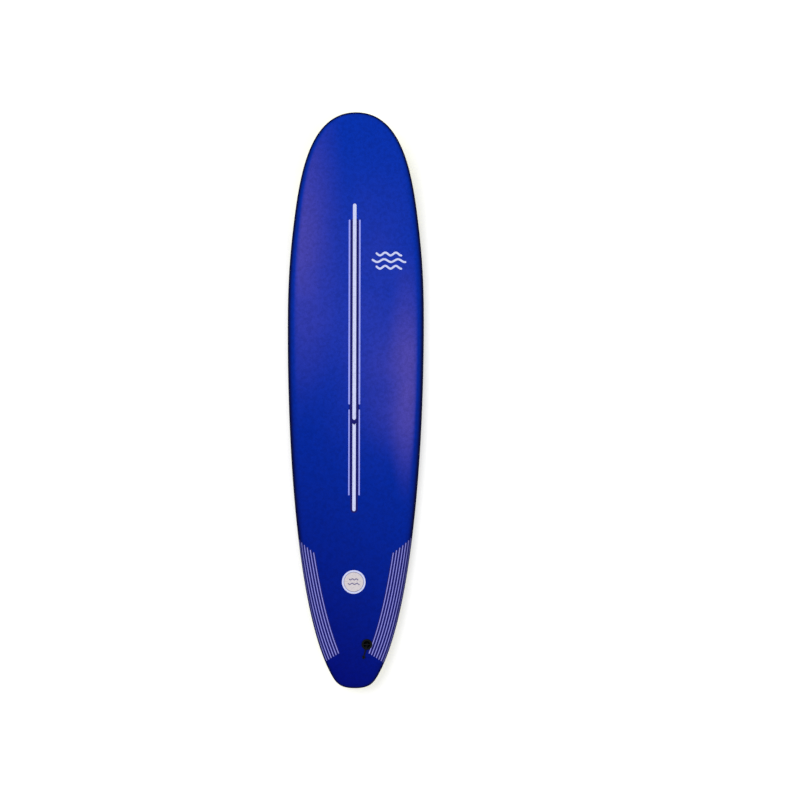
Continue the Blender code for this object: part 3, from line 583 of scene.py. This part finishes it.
# A material for each slot, a darker steel and the inks
PAINTS = {
    "deck_foam": deck_material(),
    "laminate": plastic_material("laminate", srgb(214, 218, 222), 0.62, 900),
    "slick": slick_material("slick_yellow", srgb(233, 233, 40), srgb(224, 226, 34)),
    "core_foam": bead_material("core_beads", srgb(240, 240, 236), scale=260),
    "timber": grain_material("timber", srgb(222, 190, 142), srgb(176, 136, 88), **PLY),
    "box_plastic": plastic_material("box_plastic", srgb(240, 242, 244), 0.36, 1400),
    "dense_foam": bead_material("dense_beads", srgb(214, 206, 178), scale=520),
    "plug_plastic": plastic_material("plug_plastic", srgb(5, 8, 9), 0.55, 1600, 0.06),
    "steel": grain_material("stainless", srgb(112, 114, 118), srgb(156, 158, 162), **TURNED),
    # The plug's bar: a much darker copy of the screws' steel
    "dark_steel": grain_material("dark_bar_steel", srgb(22, 23, 26), srgb(40, 41, 45), **TURNED),
    "cord": grain_material("braid", srgb(5, 6, 12), srgb(28, 30, 42), **BRAIDED),
    "black": slick_material("ink_black", srgb(38, 34, 8), srgb(30, 26, 6)),
    **{name: ink_material(f"ink_{name}", *ink) for name, ink in INKS.items()},
}


def paint_nodes():
    """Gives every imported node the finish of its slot."""
    for part in frame["record"]["subparts"]:
        for slot in frame["nodes"][part["node"]].material_slots:
            slot.material = PAINTS[part["material_slot"]]


# Pieces and cutters


def place(name, bm):
    """New object from a closed bmesh, its faces turned outwards."""
    bmesh.ops.recalc_face_normals(bm, faces=bm.faces)
    mesh = bpy.data.meshes.new(name)
    bm.to_mesh(mesh)
    bm.free()
    return add_object(name, mesh)


def cut(piece, solids):
    """Cuts bmeshes out of a piece."""
    cutters = [place("cutter", bm) for bm in solids]
    for cutter in cutters:
        step = piece.modifiers.new("cut", "BOOLEAN")
        step.object = cutter
        step.solver = "EXACT"
    bpy.context.view_layer.update()
    evaluated = piece.evaluated_get(bpy.context.evaluated_depsgraph_get())
    mesh = bpy.data.meshes.new_from_object(evaluated)
    piece.modifiers.clear()
    piece.data = mesh
    for cutter in cutters:
        bpy.data.objects.remove(cutter, do_unlink=True)


def make(name, bm, slot, solids=(), paint=None, replaces=None, body="board"):
    """Piece of a closed bmesh less some solids, shaded, painted and riding on a body."""
    piece = place(name, bm)
    if solids:
        cut(piece, solids)
    piece.data.shade_smooth()
    piece.data.set_sharp_from_angle(angle=SMOOTH_ANGLE)
    piece.data.materials.clear()
    piece.data.materials.append(PAINTS[paint or slot])
    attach(piece, body)
    if replaces:
        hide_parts(replaces)
    return piece


def add_stack(bm, loops, closed=False):
    """Adds a tube through matching loops: its ends meet if it is closed, and are capped if not."""
    rings = [[bm.verts.new(point) for point in loop] for loop in loops]
    pairs = zip(rings, rings[1:] + rings[:1]) if closed else zip(rings, rings[1:])
    for low, high in pairs:
        for i in range(len(low)):
            j = (i + 1) % len(low)
            bm.faces.new((low[i], low[j], high[j], high[i]))
    if not closed:
        bm.faces.new(rings[0])
        bm.faces.new(rings[-1])


def stack(rows, pose):
    """Closed bmesh through rows, each a loop of (x, y) points and its height."""
    bm = bmesh.new()
    add_stack(bm, [[(x, y, z) for x, y in loop] for loop, z in rows])
    bm.transform(pose)
    return bm


def circle(radius, sides):
    """Loop of (x, y) points round the origin."""
    turns = [2 * pi * i / sides for i in range(sides)]
    return [(radius * cos(turn), radius * sin(turn)) for turn in turns]


def turned(profile, sides, pose):
    """Closed bmesh of a profile of (radius, z) pairs turned round z."""
    return stack([(circle(radius, sides), z) for radius, z in profile], pose)


def bore(radius, low, high, sides, pose):
    """Round cutter that leaves the gap round a radius."""
    return turned([(radius + GAP, low), (radius + GAP, high)], sides, pose)


def oblong(size, grow=0.0, shift=0.0):
    """Loop of (x, y) points of a (length, width, corner) outline, its length along y."""
    length, width, corner = size
    corner += grow
    loop = []
    for quarter, (sx, sy) in enumerate(((1, 1), (-1, 1), (-1, -1), (1, -1))):
        cx = sx * (width / 2 + grow - corner)
        cy = sy * (length / 2 + grow - corner) - shift
        for step in range(CORNER_STEPS + 1):
            turn = (quarter + step / CORNER_STEPS) * pi / 2
            loop.append((cx + corner * cos(turn), cy + corner * sin(turn)))
    return loop


def rounded_edge(radius):
    """(inset, drop) pairs round a quarter circle, from a face to the side below it."""
    turns = [step / EDGE_STEPS * pi / 2 for step in range(EDGE_STEPS + 1)]
    return [(radius * (1 - sin(turn)), radius * (1 - cos(turn))) for turn in turns]


def run_along(points):
    """Way from the first point to each point of a line."""
    return np.concatenate([[0], np.cumsum(np.linalg.norm(np.diff(points, axis=0), axis=1))])


def ahead_round(points):
    """Way ahead at each point of a closed line."""
    return np.roll(points, -1, axis=0) - np.roll(points, 1, axis=0)


def right_of(ahead):
    """Unit vectors to the right of plan vectors."""
    right = np.column_stack([ahead[:, 1], -ahead[:, 0]])
    return right / np.linalg.norm(right, axis=1)[:, None]


# Hull


def cubic(start, start_handle, end_handle, end, steps):
    """Points of a cubic curve with two handles, after its start."""
    t = np.linspace(0, 1, steps + 1)[1:, None]
    corners = [np.array(corner) for corner in (start, start_handle, end_handle, end)]
    weights = ((1 - t) ** 3, 3 * (1 - t) ** 2 * t, 3 * (1 - t) * t**2, t**3)
    return sum(weight * corner for weight, corner in zip(weights, corners))


def half_outline():
    """Plan outline of the +X half, from the nose tip to the middle of the tail."""
    wide_y = HALF_LENGTH - WIDE_POINT_FROM_NOSE
    tip = (0.0, HALF_LENGTH)
    wide = (HALF_WIDTH, wide_y)
    corner = np.array((TAIL_CORNER_HALF_WIDTH, TAIL_CORNER_RISE - HALF_LENGTH))
    lean = np.array((sin(TAIL_CORNER_LEAN), cos(TAIL_CORNER_LEAN)))
    shoulder = np.array((SHOULDER_HALF_WIDTH, HALF_LENGTH - SHOULDER_FROM_NOSE))
    out = np.array((sin(SHOULDER_LEAN), -cos(SHOULDER_LEAN)))
    before = shoulder - SHOULDER_NOSE_HANDLE * out
    after = shoulder + SHOULDER_SIDE_HANDLE * out
    nose_side = (HALF_WIDTH, wide_y + NOSE_SIDE_HANDLE)
    tail_side = (HALF_WIDTH, wide_y - TAIL_SIDE_HANDLE)
    block = (TAIL_BLOCK_HANDLE, -HALF_LENGTH)
    return np.vstack([
        [tip],
        cubic(tip, (NOSE_TIP_HANDLE, HALF_LENGTH), before, shoulder, NOSE_STEPS),
        cubic(shoulder, after, nose_side, wide, SHOULDER_STEPS),
        cubic(wide, tail_side, corner + TAIL_CORNER_HANDLE * lean, corner, SIDE_STEPS),
        cubic(corner, corner - TAIL_ROUND_HANDLE * lean, block, (0.0, -HALF_LENGTH), TAIL_STEPS),
    ])


def rocker(y):
    """Height of the bottom on the centreline."""
    height = 0
    for way, (rise, start, power) in ((y, NOSE_ROCKER), (-y, TAIL_ROCKER)):
        height = height + rise * np.clip((way - start) / (HALF_LENGTH - start), 0, 1) ** power
    return height


def thickness(y):
    """Thickness on the centreline."""
    tip = np.where(y > 0, *TIP_THICKNESSES)
    run = np.clip(np.abs(y) / HALF_LENGTH, 0, 1)
    return tip + (BOARD_THICKNESS - tip) * (1 - run**FOIL_POWER)


def roll(inset, width):
    """Share of a rail's quarter ellipse that is climbed at an inset from the outline."""
    left = np.clip(1 - inset / width, 0, 1)
    return np.sqrt(1 - left * left)


def upper_roll(y):
    """Width of the rail's roll above its apex."""
    return UPPER_ROLL_SHARE * (1 - RAIL_APEX_SHARE) * thickness(y)


def lower_roll(y):
    """Width of the rail's roll below its apex."""
    return LOWER_ROLL_SHARE * RAIL_APEX_SHARE * thickness(y)


def deck_height(y, inset, share):
    """Height of the deck at an inset, and at a share of the way from the outline to the spine."""
    apex = RAIL_APEX_SHARE * thickness(y)
    climbed = (1 - CROWN_SHARE) * roll(inset, upper_roll(y)) + CROWN_SHARE * (1 - (1 - share) ** 2)
    return rocker(y) + apex + (thickness(y) - apex) * climbed


def bottom_height(y, inset, _share):
    """Height of the underside at an inset, whatever the share."""
    return rocker(y) + RAIL_APEX_SHARE * thickness(y) * (1 - roll(inset, lower_roll(y)))


class Hull:
    """Rings of hull points, from the deck's spine over the rail to the bottom's spine."""

    def __init__(self):
        half = half_outline()
        self.stations = len(half)
        self.outline = np.vstack([half, half[-2:0:-1] * (-1, 1)])
        self.count = len(self.outline)
        self.y = self.outline[:, 1]
        shares = [1 - inset / HALF_LENGTH for inset in SPINE_INSETS]
        self.spine_y = self.y * np.where(self.y > 0, *shares)
        ribs = np.column_stack([np.zeros(self.count), self.spine_y]) - self.outline
        self.rib_length = np.linalg.norm(ribs, axis=1)
        self.rib = ribs / self.rib_length[:, None]
        inward = right_of(ahead_round(self.outline))
        self.slant = np.abs((self.rib * inward).sum(axis=1))
        self.reach = self.rib_length * self.slant
        self.rings = []
        self.sunk = []
        self.add_deck()
        self.add_rim()
        self.seam = len(self.rings) - 1
        self.add_bottom()
        self.points = np.array(self.rings)
        self.normals = self.find_normals()

    def ring(self, inset, height):
        """One ring of points at an inset, which may differ from point to point."""
        along = np.minimum(inset / self.slant, self.rib_length)
        plan = self.outline + self.rib * along[:, None]
        return np.column_stack([plan, height(plan[:, 1], inset, along / self.rib_length)])

    def add_ring(self, inset, height, sunk=0.0):
        """Adds a ring, and how far the skin's rounded edge sinks there."""
        self.rings.append(self.ring(inset, height))
        self.sunk.append(sunk)

    def add_spine(self, height):
        """The centreline as a ring, on which both sides' points meet."""
        points = [np.zeros(self.count), self.spine_y, height(self.spine_y)]
        self.rings.append(np.column_stack(points))
        self.sunk.append(0.0)

    def add_deck(self):
        """Spine, crown and the roll over the rail to its apex."""
        self.add_spine(lambda y: rocker(y) + thickness(y))
        rolled = upper_roll(self.y)
        for step in range(CROWN_STEPS - 1, -1, -1):
            self.add_ring(rolled + (self.reach - rolled) * step / CROWN_STEPS, deck_height)
        for step in range(ROLL_STEPS - 1, -1, -1):
            self.add_ring(rolled * (1 - cos(step / ROLL_STEPS * pi / 2)), deck_height)

    def add_rim(self):
        """The deck skin's way under the rail to its rounded edge at the seam."""
        for share in RIM_SHARES:
            self.add_ring(SEAM_INSET * share, bottom_height)
        for inset, drop in rounded_edge(SEAM_ROUND):
            self.add_ring(SEAM_INSET - inset, bottom_height, drop)

    def add_bottom(self):
        """The slick bottom from its rounded edge to its spine."""
        start = SEAM_INSET + SEAM_GAP
        for inset, drop in reversed(rounded_edge(SEAM_ROUND)):
            self.add_ring(start + inset, bottom_height, drop)
        edge = start + SEAM_ROUND
        flat = np.maximum(lower_roll(self.y) * FLAT_START_SHARE, edge) + GAP
        for share in FLAT_SHARES:
            self.add_ring(edge + (flat - edge) * share, bottom_height)
        for step in range(1, SLICK_STEPS):
            self.add_ring(flat + (self.reach - flat) * step / SLICK_STEPS, bottom_height)
        self.add_spine(rocker)

    def key(self, level, i):
        """Name of a grid point: a spine's two sides share their points."""
        i %= self.count
        if level in (0, len(self.rings) - 1):
            i = min(i, self.count - i)
        return level, i

    def add_sheet(self, bm, levels, points):
        """Adds the faces between neighbouring levels of a grid of points."""
        keys = {self.key(level, i) for level in levels for i in range(self.count)}
        verts = {key: bm.verts.new(points[key]) for key in sorted(keys)}
        for upper, lower in zip(levels, levels[1:]):
            for i in range(self.count):
                corners = ((upper, i), (upper, i + 1), (lower, i + 1), (lower, i))
                bm.faces.new([verts[self.key(*corner)] for corner in corners])
        return verts

    def find_normals(self):
        """Outward normals at every grid point, and the tree that places are found on."""
        bm = bmesh.new()
        levels = range(len(self.rings))
        verts = self.add_sheet(bm, levels, self.points)
        bmesh.ops.recalc_face_normals(bm, faces=bm.faces)
        bm.normal_update()
        self.tree = BVHTree.FromBMesh(bm)
        keys = [[self.key(level, i) for i in range(self.count)] for level in levels]
        normals = np.array([[verts[key].normal.copy() for key in row] for row in keys])
        bm.free()
        return normals

    def skin(self, levels, depth):
        """Closed bmesh of a skin: its outer face, its inner face and the edge at the seam."""
        bm = bmesh.new()
        sunk = np.array(self.sunk)[:, None, None]
        outer = self.add_sheet(bm, levels, self.points - sunk * self.normals)
        inner = self.add_sheet(bm, levels, self.points - depth * self.normals)
        edge = self.seam if self.seam in levels else self.seam + 1
        for i in range(self.count):
            a, b = self.key(edge, i), self.key(edge, i + 1)
            bm.faces.new((outer[a], outer[b], inner[b], inner[a]))
        return bm

    def spot(self, x, y, side):
        """Point and normal of the hull straight below or above a place in plan."""
        hit, normal, _, _ = self.tree.ray_cast(Vector((x, y, side)), Vector((0, 0, -side)))
        return hit, normal

    def rail_paths(self, side, insets, count):
        """Plan paths for the lines along one rail, evenly spaced on the surface.

        The innermost one goes from one inset to another between the lines' ends.
        """
        start = np.interp(-self.y, [-at for at, _ in TAIL_LINE_ENDS], insets)
        depths = np.linspace(max(insets), 0, INSET_STEPS)
        rings = np.array([self.ring(depth, deck_height) for depth in depths])
        runs = np.linalg.norm(np.diff(rings, axis=0), axis=2)
        run = np.vstack([np.zeros(self.count), np.cumsum(runs, axis=0)])
        paths = []
        for step in range(count):
            away = step * TAIL_LINE_SPACING + depths[0] - start
            plan = [
                [np.interp(away[i], run[:, i], rings[:, i, axis]) for axis in (0, 1)]
                for i in range(self.stations)
            ]
            paths.append(np.array(plan) * (side, 1))
        return paths


def dress_skins(hull, plug, boxes):
    """Deck skin with the plug's hole, and the slick bottom with the fin boxes' openings."""
    skin = hull.skin(range(hull.seam + 1), DECK_SKIN_THICKNESS)
    flange_depth = PLUG_FLANGE_THICKNESS - PLUG_PROUD + GAP
    holes = [
        bore(PLUG_FLANGE_RADIUS, -flange_depth, CUT_PAST, PLUG_SIDES, plug),
        bore(PLUG_CUP_RADIUS, -CUT_PAST, CUT_PAST, PLUG_SIDES, plug),
    ]
    make("deck_foam_skin", skin, "deck_foam", holes, replaces="deck_skin")

    skin = hull.skin(range(hull.seam + 1, len(hull.rings)), SLICK_THICKNESS)
    opening = [(oblong(FIN_FLANGE, GAP), z) for z in (-CUT_PAST, CUT_PAST)]
    openings = [stack(opening, seat) for seat in boxes.values()]
    make("slick_bottom", skin, "slick", openings, replaces="bottom_slick")


# Prints


def square(across):
    """Straight end of a film. Ends give each column's setback in half widths."""
    return 0 * across


def rounded(across):
    """Half-round end of a film."""
    return 1 - np.sqrt(1 - across**2)


def pointed(across):
    """Blunt point at the end of a film."""
    return POINT_REACH * across**2 / (POINT_BLUNTNESS + np.abs(across))


def notched(across):
    """Notch that a blunt point fits into."""
    return pointed(1.0) - pointed(across)


class Prints:
    """Films of one ink on the hull, each a closed thin solid."""

    def __init__(self, hull, side=1, layer=0):
        self.hull = hull
        self.side = side
        self.lift = PRINT_LIFT + layer * PRINT_LAYER
        self.bm = bmesh.new()

    def faces_over(self, rows):
        """Top and low grids of points over rows of plan points."""
        spots = [[self.hull.spot(x, y, self.side) for x, y in row] for row in rows]
        return [
            [[point + offset * normal for point, normal in row] for row in spots]
            for offset in (self.lift, -PRINT_SUNK)
        ]

    def film(self, path, half_width, start=rounded, end=rounded, step=PRINT_STEP):
        """Strip along a plan path, of a width measured on the surface."""
        path = np.array(path, float)
        run = run_along(path)
        right = right_of(np.gradient(path, axis=0))
        across = np.sin(np.linspace(-pi / 2, pi / 2, PRINT_COLUMNS))
        rows = []
        for stop in np.linspace(0, 1, max(2, round(run[-1] / step) + 1)):
            middle = [np.interp(stop * run[-1], run, column) for column in path.T]
            width = half_width * abs(self.hull.spot(*middle, self.side)[1].z)
            first, last = start(across) * width, run[-1] - end(across) * width
            at = first + stop * (last - first)
            rows.append(np.column_stack([
                np.interp(at, run, column) + across * width * np.interp(at, run, away)
                for column, away in zip(path.T, right.T)
            ]))
        self.add_film(*self.faces_over(rows))

    def add_film(self, top, low):
        """Closed solid between two grids of points."""
        upper, lower = (
            [[self.bm.verts.new(point) for point in row] for row in grid] for grid in (top, low)
        )
        rows, columns = len(top) - 1, len(top[0]) - 1
        for grid in (upper, lower):
            for r in range(rows):
                for c in range(columns):
                    corners = (grid[r][c], grid[r][c + 1], grid[r + 1][c + 1], grid[r + 1][c])
                    self.bm.faces.new(corners)
        rim = [(0, c) for c in range(columns)] + [(r, columns) for r in range(rows)]
        rim += [(rows, c) for c in range(columns, 0, -1)] + [(r, 0) for r in range(rows, 0, -1)]
        for (r, c), (s, d) in zip(rim, rim[1:] + rim[:1]):
            self.bm.faces.new((upper[r][c], upper[s][d], lower[s][d], lower[r][c]))

    def ring(self, centre, inner, outer, rings):
        """Round film between two radii, or a whole disc when the inner one is nothing."""
        radii = np.linspace(inner or outer * DISC_CENTRE_SHARE, outer, rings)
        circles = [np.array(circle(radius, RING_SIDES)) + centre for radius in radii]
        top, low = self.faces_over(circles)
        add_stack(self.bm, top + low[::-1], closed=inner > 0)

    def line(self, x, span, half_width, *ends):
        """Straight film along the board, over a span measured from the nose."""
        path = [(x, HALF_LENGTH - from_nose) for from_nose in span]
        self.film(path, half_width, *ends)

    def waves(self, centre, rows, height, half_width):
        """Wavy films across the board, in (offset, length) rows round a centre."""
        share = np.linspace(-0.5, 0.5, WAVE_POINTS)
        swing = height * np.cos(2 * pi * (WAVE_CRESTS * share + WAVE_SHIFT))
        for offset, length in rows:
            path = np.column_stack([centre[0] + length * share, centre[1] + offset + swing])
            self.film(path, half_width, step=WAVE_STEP)

    def finish(self, name, ink):
        """Makes the films one piece."""
        make(name, self.bm, "laminate" if self.side > 0 else "slick", paint=ink)


def dress_stripes(hull):
    """Broad and fine stripes along the deck, on a navy ground that narrows by the tail."""
    for name, layer, strip in (("ground", 0, GROUND), ("edging", 0.5, EDGING)):
        navy = Prints(hull, layer=layer)
        navy.line(PRINT_SHIFT, *strip)
        navy.finish(f"deck_stripe_{name}", "navy")

    broad, fine = Prints(hull, layer=1), Prints(hull, layer=1)
    for strip, ends in zip(BROAD_STRIPS, ((rounded, pointed), (notched, rounded))):
        broad.line(PRINT_SHIFT, *strip, *ends)
    for x in (PRINT_SHIFT - FINE_OFFSET, PRINT_SHIFT + FINE_OFFSET):
        for strip in FINE_STRIPS:
            fine.line(x, *strip)
    broad.finish("deck_broad_stripe", "pale")
    fine.finish("deck_fine_stripes", "lilac")


def dress_tail_lines(hull):
    """Lines beside each rail of the tail, each on a navy ground of its own."""
    for name, (side, insets, count) in TAIL_LINES.items():
        ground, lines = Prints(hull), Prints(hull, layer=1)
        for step, path in enumerate(hull.rail_paths(side, insets, count)):
            ends = [at + step * shift for at, shift in TAIL_LINE_ENDS]
            y = np.linspace(*ends, CLIP_POINTS)
            path = np.column_stack([np.interp(-y, -path[:, 1], path[:, 0]), y])
            ground.film(path, TAIL_LINE_SPACING / 2, square, square)
            lines.film(path, TAIL_LINE_HALF_WIDTH)
        ground.finish(f"tail_ground_{name}", "navy")
        lines.finish(f"tail_lines_{name}", "tail")


def dress_badge(hull):
    """Plain round badge with two waves, and a small mark of three waves by the nose."""
    centre = (PRINT_SHIFT, HALF_LENGTH - BADGE_FROM_NOSE)
    rim, field, grey, mark = (Prints(hull, layer=layer) for layer in (1, 2, 3, 1))
    rim.ring(centre, 0, BADGE_RADIUS, rings=12)
    field.ring(centre, 0, BADGE_RING_RADII[0] + GAP, rings=10)
    grey.ring(centre, *BADGE_RING_RADII, rings=3)
    grey.waves(centre, *BADGE_WAVES)
    mark.waves(MARK_PLACE, *MARK_WAVES)
    rim.finish("badge_rim", "pale")
    field.finish("badge_field", "field")
    grey.finish("badge_lines", "grey")
    mark.finish("nose_mark", "pale")


def dress_bottom_stripes(hull):
    """Broad stripe and two fine ones along the middle of the slick bottom."""
    stripes = Prints(hull, side=-1)
    stripes.line(0, *BOTTOM_BROAD)
    for x in (-BOTTOM_FINE_OFFSET, BOTTOM_FINE_OFFSET):
        stripes.line(x, *BOTTOM_FINE)
    stripes.finish("bottom_stripes", "black")


# Seats of the fittings


def seat_pose(node, mount, axis_y, proud=0.0):
    """Pose over the middle of a node: z out of a mount's face, and y near to a given one."""
    axis_z = Vector(MOUNTS[mount]["axis"])
    on_face = Vector(MOUNTS[mount]["pos_m"])
    low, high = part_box(node)
    middle = (low + high) / 2
    flat = Vector((middle.x - on_face.x, middle.y - on_face.y, 0))
    middle.z = on_face.z - flat.dot(axis_z) / axis_z.z
    axis_y = (axis_y - axis_y.dot(axis_z) * axis_z).normalized()
    axes = Matrix((axis_y.cross(axis_z), axis_y, axis_z)).transposed().to_4x4()
    return Matrix.Translation(middle - proud * axis_z) @ axes


def plug_seat():
    """The leash plug's seat on the deck, its y towards the nose."""
    axis_z = Vector(MOUNTS["leash_face"]["axis"])
    return seat_pose("leash_cup", "leash_face", Vector((0, axis_z.z, -axis_z.y)), PLUG_PROUD)


def box_seats():
    """Each fin box's seat, its y along the slot, as the slant of its screw tells."""
    return {
        name: seat_pose(f"fin_box_{name}", f"fin_face_{name}", -JOINT_AXES[f"fin_screw_{name}"])
        for name in ("centre", "left", "right")
    }


def tilted(seat, shift, turn, axis):
    """A seat moved by a shift, and then turned round an axis."""
    return seat @ Matrix.Translation(shift) @ Matrix.Rotation(turn, 4, axis)


def placed(points, pose):
    """Points of a fitting's frame in the board's frame."""
    return np.array([pose @ Vector(point) for point in points])


# Leash plug and string


def dress_plug(seat):
    """Turned cup with a round-lipped flange, and the bar across it."""
    inner = PLUG_CUP_RADIUS - PLUG_CUP_WALL
    floor = PLUG_CUP_WALL - PLUG_CUP_DEPTH
    under = PLUG_PROUD - PLUG_FLANGE_THICKNESS
    lip = rounded_edge(PLUG_LIP_ROUND)
    dish = [
        (inner - PLUG_DISH_RUN * (1 - cos(turn)), floor + PLUG_DISH_RISE * (1 - sin(turn)))
        for turn in np.linspace(0, pi / 2, PLUG_DISH_POINTS)
    ]
    profile = [
        (PLUG_HUB_RADIUS, -PLUG_CUP_DEPTH),
        *[(PLUG_CUP_RADIUS - inset, drop - PLUG_CUP_DEPTH) for inset, drop in lip],
        (PLUG_CUP_RADIUS, under),
        (PLUG_FLANGE_RADIUS, under),
        *[(PLUG_FLANGE_RADIUS - inset, PLUG_PROUD - drop) for inset, drop in reversed(lip)],
        *[(inner + inset, PLUG_PROUD - drop) for inset, drop in lip],
        *dish,
        (PLUG_HUB_RADIUS, floor),
    ]
    bar_seat = tilted(seat, (0, 0, -BAR_DEPTH), pi / 2, "Y")
    radius = BAR_DIAMETER / 2
    past = PLUG_CUP_RADIUS + CUT_PAST
    hole = bore(radius, -past, past, BAR_SIDES, bar_seat)
    cup = turned(profile, PLUG_SIDES, seat)
    make("plug_moulding", cup, "plug_plastic", [hole], replaces="leash_cup")

    half = PLUG_CUP_RADIUS - GAP
    ends = [(radius - BAR_CHAMFER, half), (radius, half - BAR_CHAMFER)]
    bar = turned([(r, -z) for r, z in ends] + ends[::-1], BAR_SIDES, bar_seat)
    make("plug_bar", bar, "steel", paint="dark_steel", replaces="leash_bar")


def smooth_route(route):
    """Close points on a smooth curve through a route."""
    ends = np.vstack([2 * route[0] - route[1], route, 2 * route[-1] - route[-2]])
    fine = []
    for before, start, end, after in zip(ends, ends[1:], ends[2:], ends[3:]):
        for t in np.arange(ROUTE_SUBSTEPS) / ROUTE_SUBSTEPS:
            twist = 3 * (start - end) + after - before
            bend = 2 * before - 5 * start + 4 * end - after
            fine.append(start + (t * (end - before) + t**2 * bend + t**3 * twist) / 2)
    return np.vstack([fine, route[-1]])


def even(points, step):
    """Points a steady distance apart along a line."""
    run = run_along(points)
    stops = np.linspace(0, run[-1], round(run[-1] / step) + 1)
    return np.column_stack([np.interp(stops, run, column) for column in points.T])


def braided(points, closed=False):
    """Bmesh of a braided cord along even points: crossing strands stand out of a tube."""
    ahead = ahead_round(points) if closed else np.gradient(points, axis=0)
    ahead = [Vector(step).normalized() for step in ahead]
    sides = [ahead[0].orthogonal().normalized()]
    for direction in ahead[1:] + ahead[:1]:
        sides.append((sides[-1] - sides[-1].dot(direction) * direction).normalized())
    twist = 0.0
    if closed:
        twist = atan2(ahead[0].cross(sides[0]).dot(sides[-1]), sides[0].dot(sides[-1]))
    crossings = BRAID_STRANDS / 2
    pitches = round(run_along(points)[-1] / BRAID_PITCH)
    loops = []
    for i, point in enumerate(points):
        share = i / len(points)
        across = ahead[i].cross(sides[i])
        loop = []
        for side in range(BRAID_SIDES):
            turn = 2 * pi * side / BRAID_SIDES
            lay = 2 * pi * pitches * share
            relief = cos(crossings * (turn + lay)) * cos(crossings * (turn - lay))
            radius = STRING_DIAMETER / 2 - BRAID_DEPTH * (0.5 - 0.5 * relief)
            turn -= twist * share
            out = cos(turn) * sides[i] + sin(turn) * across
            loop.append(Vector(point) + radius * out)
        loops.append(loop)
    bm = bmesh.new()
    add_stack(bm, loops, closed)
    return bm


def knot_points():
    """Closed strand of the overhand knot, lying flat on the deck."""
    lift = KNOT_WEAVE_RADIUS + STRING_DIAMETER / 2 + GAP
    turn = 2 * pi * np.arange(KNOT_STEPS) / KNOT_STEPS
    out = KNOT_RING_RADIUS + KNOT_WEAVE_RADIUS * np.cos(KNOT_CROSSINGS * turn)
    around = KNOT_TURNS * turn - pi / 2
    x = out * np.cos(around)
    y = out * np.sin(around) - KNOT_CENTRE_FROM_PLUG
    return np.column_stack([x, y, lift + KNOT_WEAVE_RADIUS * np.sin(KNOT_CROSSINGS * turn)])


def dress_string(seat):
    """The braided string round the bar and its knot."""
    pose = seat @ Matrix.Rotation(-STRING_SWING, 4, "Z")
    knot = braided(placed(knot_points(), pose), closed=True)
    knot = make("string_knot", knot, "cord", replaces="leash_knot")
    route = placed(np.array(STRING_ROUTE_MM) / 1000, pose)
    points = even(smooth_route(route), BRAID_STEP)
    string = make("string_braid", braided(points), "cord", replaces="leash_string")


# Fin boxes


def dress_boxes(seats):
    """Each fin box with its flared slot and screw hole, and its threaded screw."""
    entry = FIN_SLOT[0] / 2 - FIN_SLOT_SETBACK + SCREW_AHEAD_OF_SLOT
    for name, seat in seats.items():
        node = f"fin_box_{name}"
        pose = tilted(seat, (0, entry, 0), -SCREW_LEAN, "X")
        hole = bore(SCREW_DIAMETER / 2, -SCREW_HOLE_DEPTH, CUT_PAST, SCREW_HOLE_SIDES, pose)
        solids = [slot_bmesh(seat), hole]
        make(f"box_moulding_{name}", box_bmesh(seat), "box_plastic", solids, replaces=node)

        node = f"fin_screw_{name}"
        pose = pose @ Matrix.Translation((0, 0, -SCREW_RECESS))
        hexagon = circle(SCREW_SOCKET / cos(pi / 6) / 2, 6)
        socket = stack([(hexagon, -SCREW_SOCKET_DEPTH), (hexagon, CUT_PAST)], pose)
        screw = screw_bmesh(pose)
        make(f"screw_threaded_{name}", screw, "steel", [socket], replaces=node, body=node)


def box_bmesh(seat):
    """Flange with a rounded rim over a drafted body."""
    rim = [(-inset, -drop) for inset, drop in rounded_edge(FIN_EDGE_ROUND)]
    rows = [(oblong(FIN_FLANGE, grow), z) for grow, z in rim]
    rows += [
        (oblong(FIN_FLANGE), -FIN_FLANGE_THICKNESS),
        (oblong(FIN_BODY), -FIN_FLANGE_THICKNESS),
        (oblong(FIN_BODY, -FIN_BODY_DRAFT), -FIN_BODY_DEPTH),
    ]
    return stack(rows, seat)


def slot_bmesh(seat):
    """Space of the fin's base, flared at its mouth a hair above the flange."""
    flare = [(inset, FIN_MOUTH_LIFT - drop) for inset, drop in rounded_edge(FIN_EDGE_ROUND)]
    rows = [(0.0, -FIN_SLOT_DEPTH), *flare[::-1], (FIN_EDGE_ROUND, CUT_PAST)]
    rows = [(oblong(FIN_SLOT, grow, FIN_SLOT_SETBACK), z) for grow, z in rows]
    return stack(rows, seat)


def screw_bmesh(pose):
    """Threaded shank with its socket end at z = 0 and a cone point."""
    rings = round(SCREW_LENGTH / THREAD_PITCH * THREAD_RINGS_A_TURN)
    rows = []
    for ring in range(rings + 1):
        z = -SCREW_LENGTH * ring / rings
        ease = min(-z / THREAD_PITCH, 1.0)
        core = SCREW_DIAMETER / 2 - max(SCREW_POINT - SCREW_LENGTH - z, 0.0)
        loop = []
        for side in range(THREAD_SIDES):
            share = side / THREAD_SIDES
            crest = abs(((z / THREAD_PITCH - share) % 1.0) * 2 - 1)
            radius = min(core, SCREW_DIAMETER / 2 - THREAD_DEPTH * (1 - crest) * ease)
            turn = 2 * pi * share
            loop.append((radius * cos(turn), radius * sin(turn)))
        rows.append((loop, z))
    return stack(rows, pose)


def main():
    bpy.context.scene.view_settings.view_transform = "Standard"
    add_camera()
    add_world()
    for name, lamp in LAMPS.items():
        add_sun(name, *lamp)
    add_floor()
    paint_nodes()

    plug, boxes = plug_seat(), box_seats()
    dress_string(plug)
    hull = Hull()
    dress_skins(hull, plug, boxes)
    dress_plug(plug)
    dress_boxes(boxes)
    dress_stripes(hull)
    dress_tail_lines(hull)
    dress_badge(hull)
    dress_bottom_stripes(hull)


main()
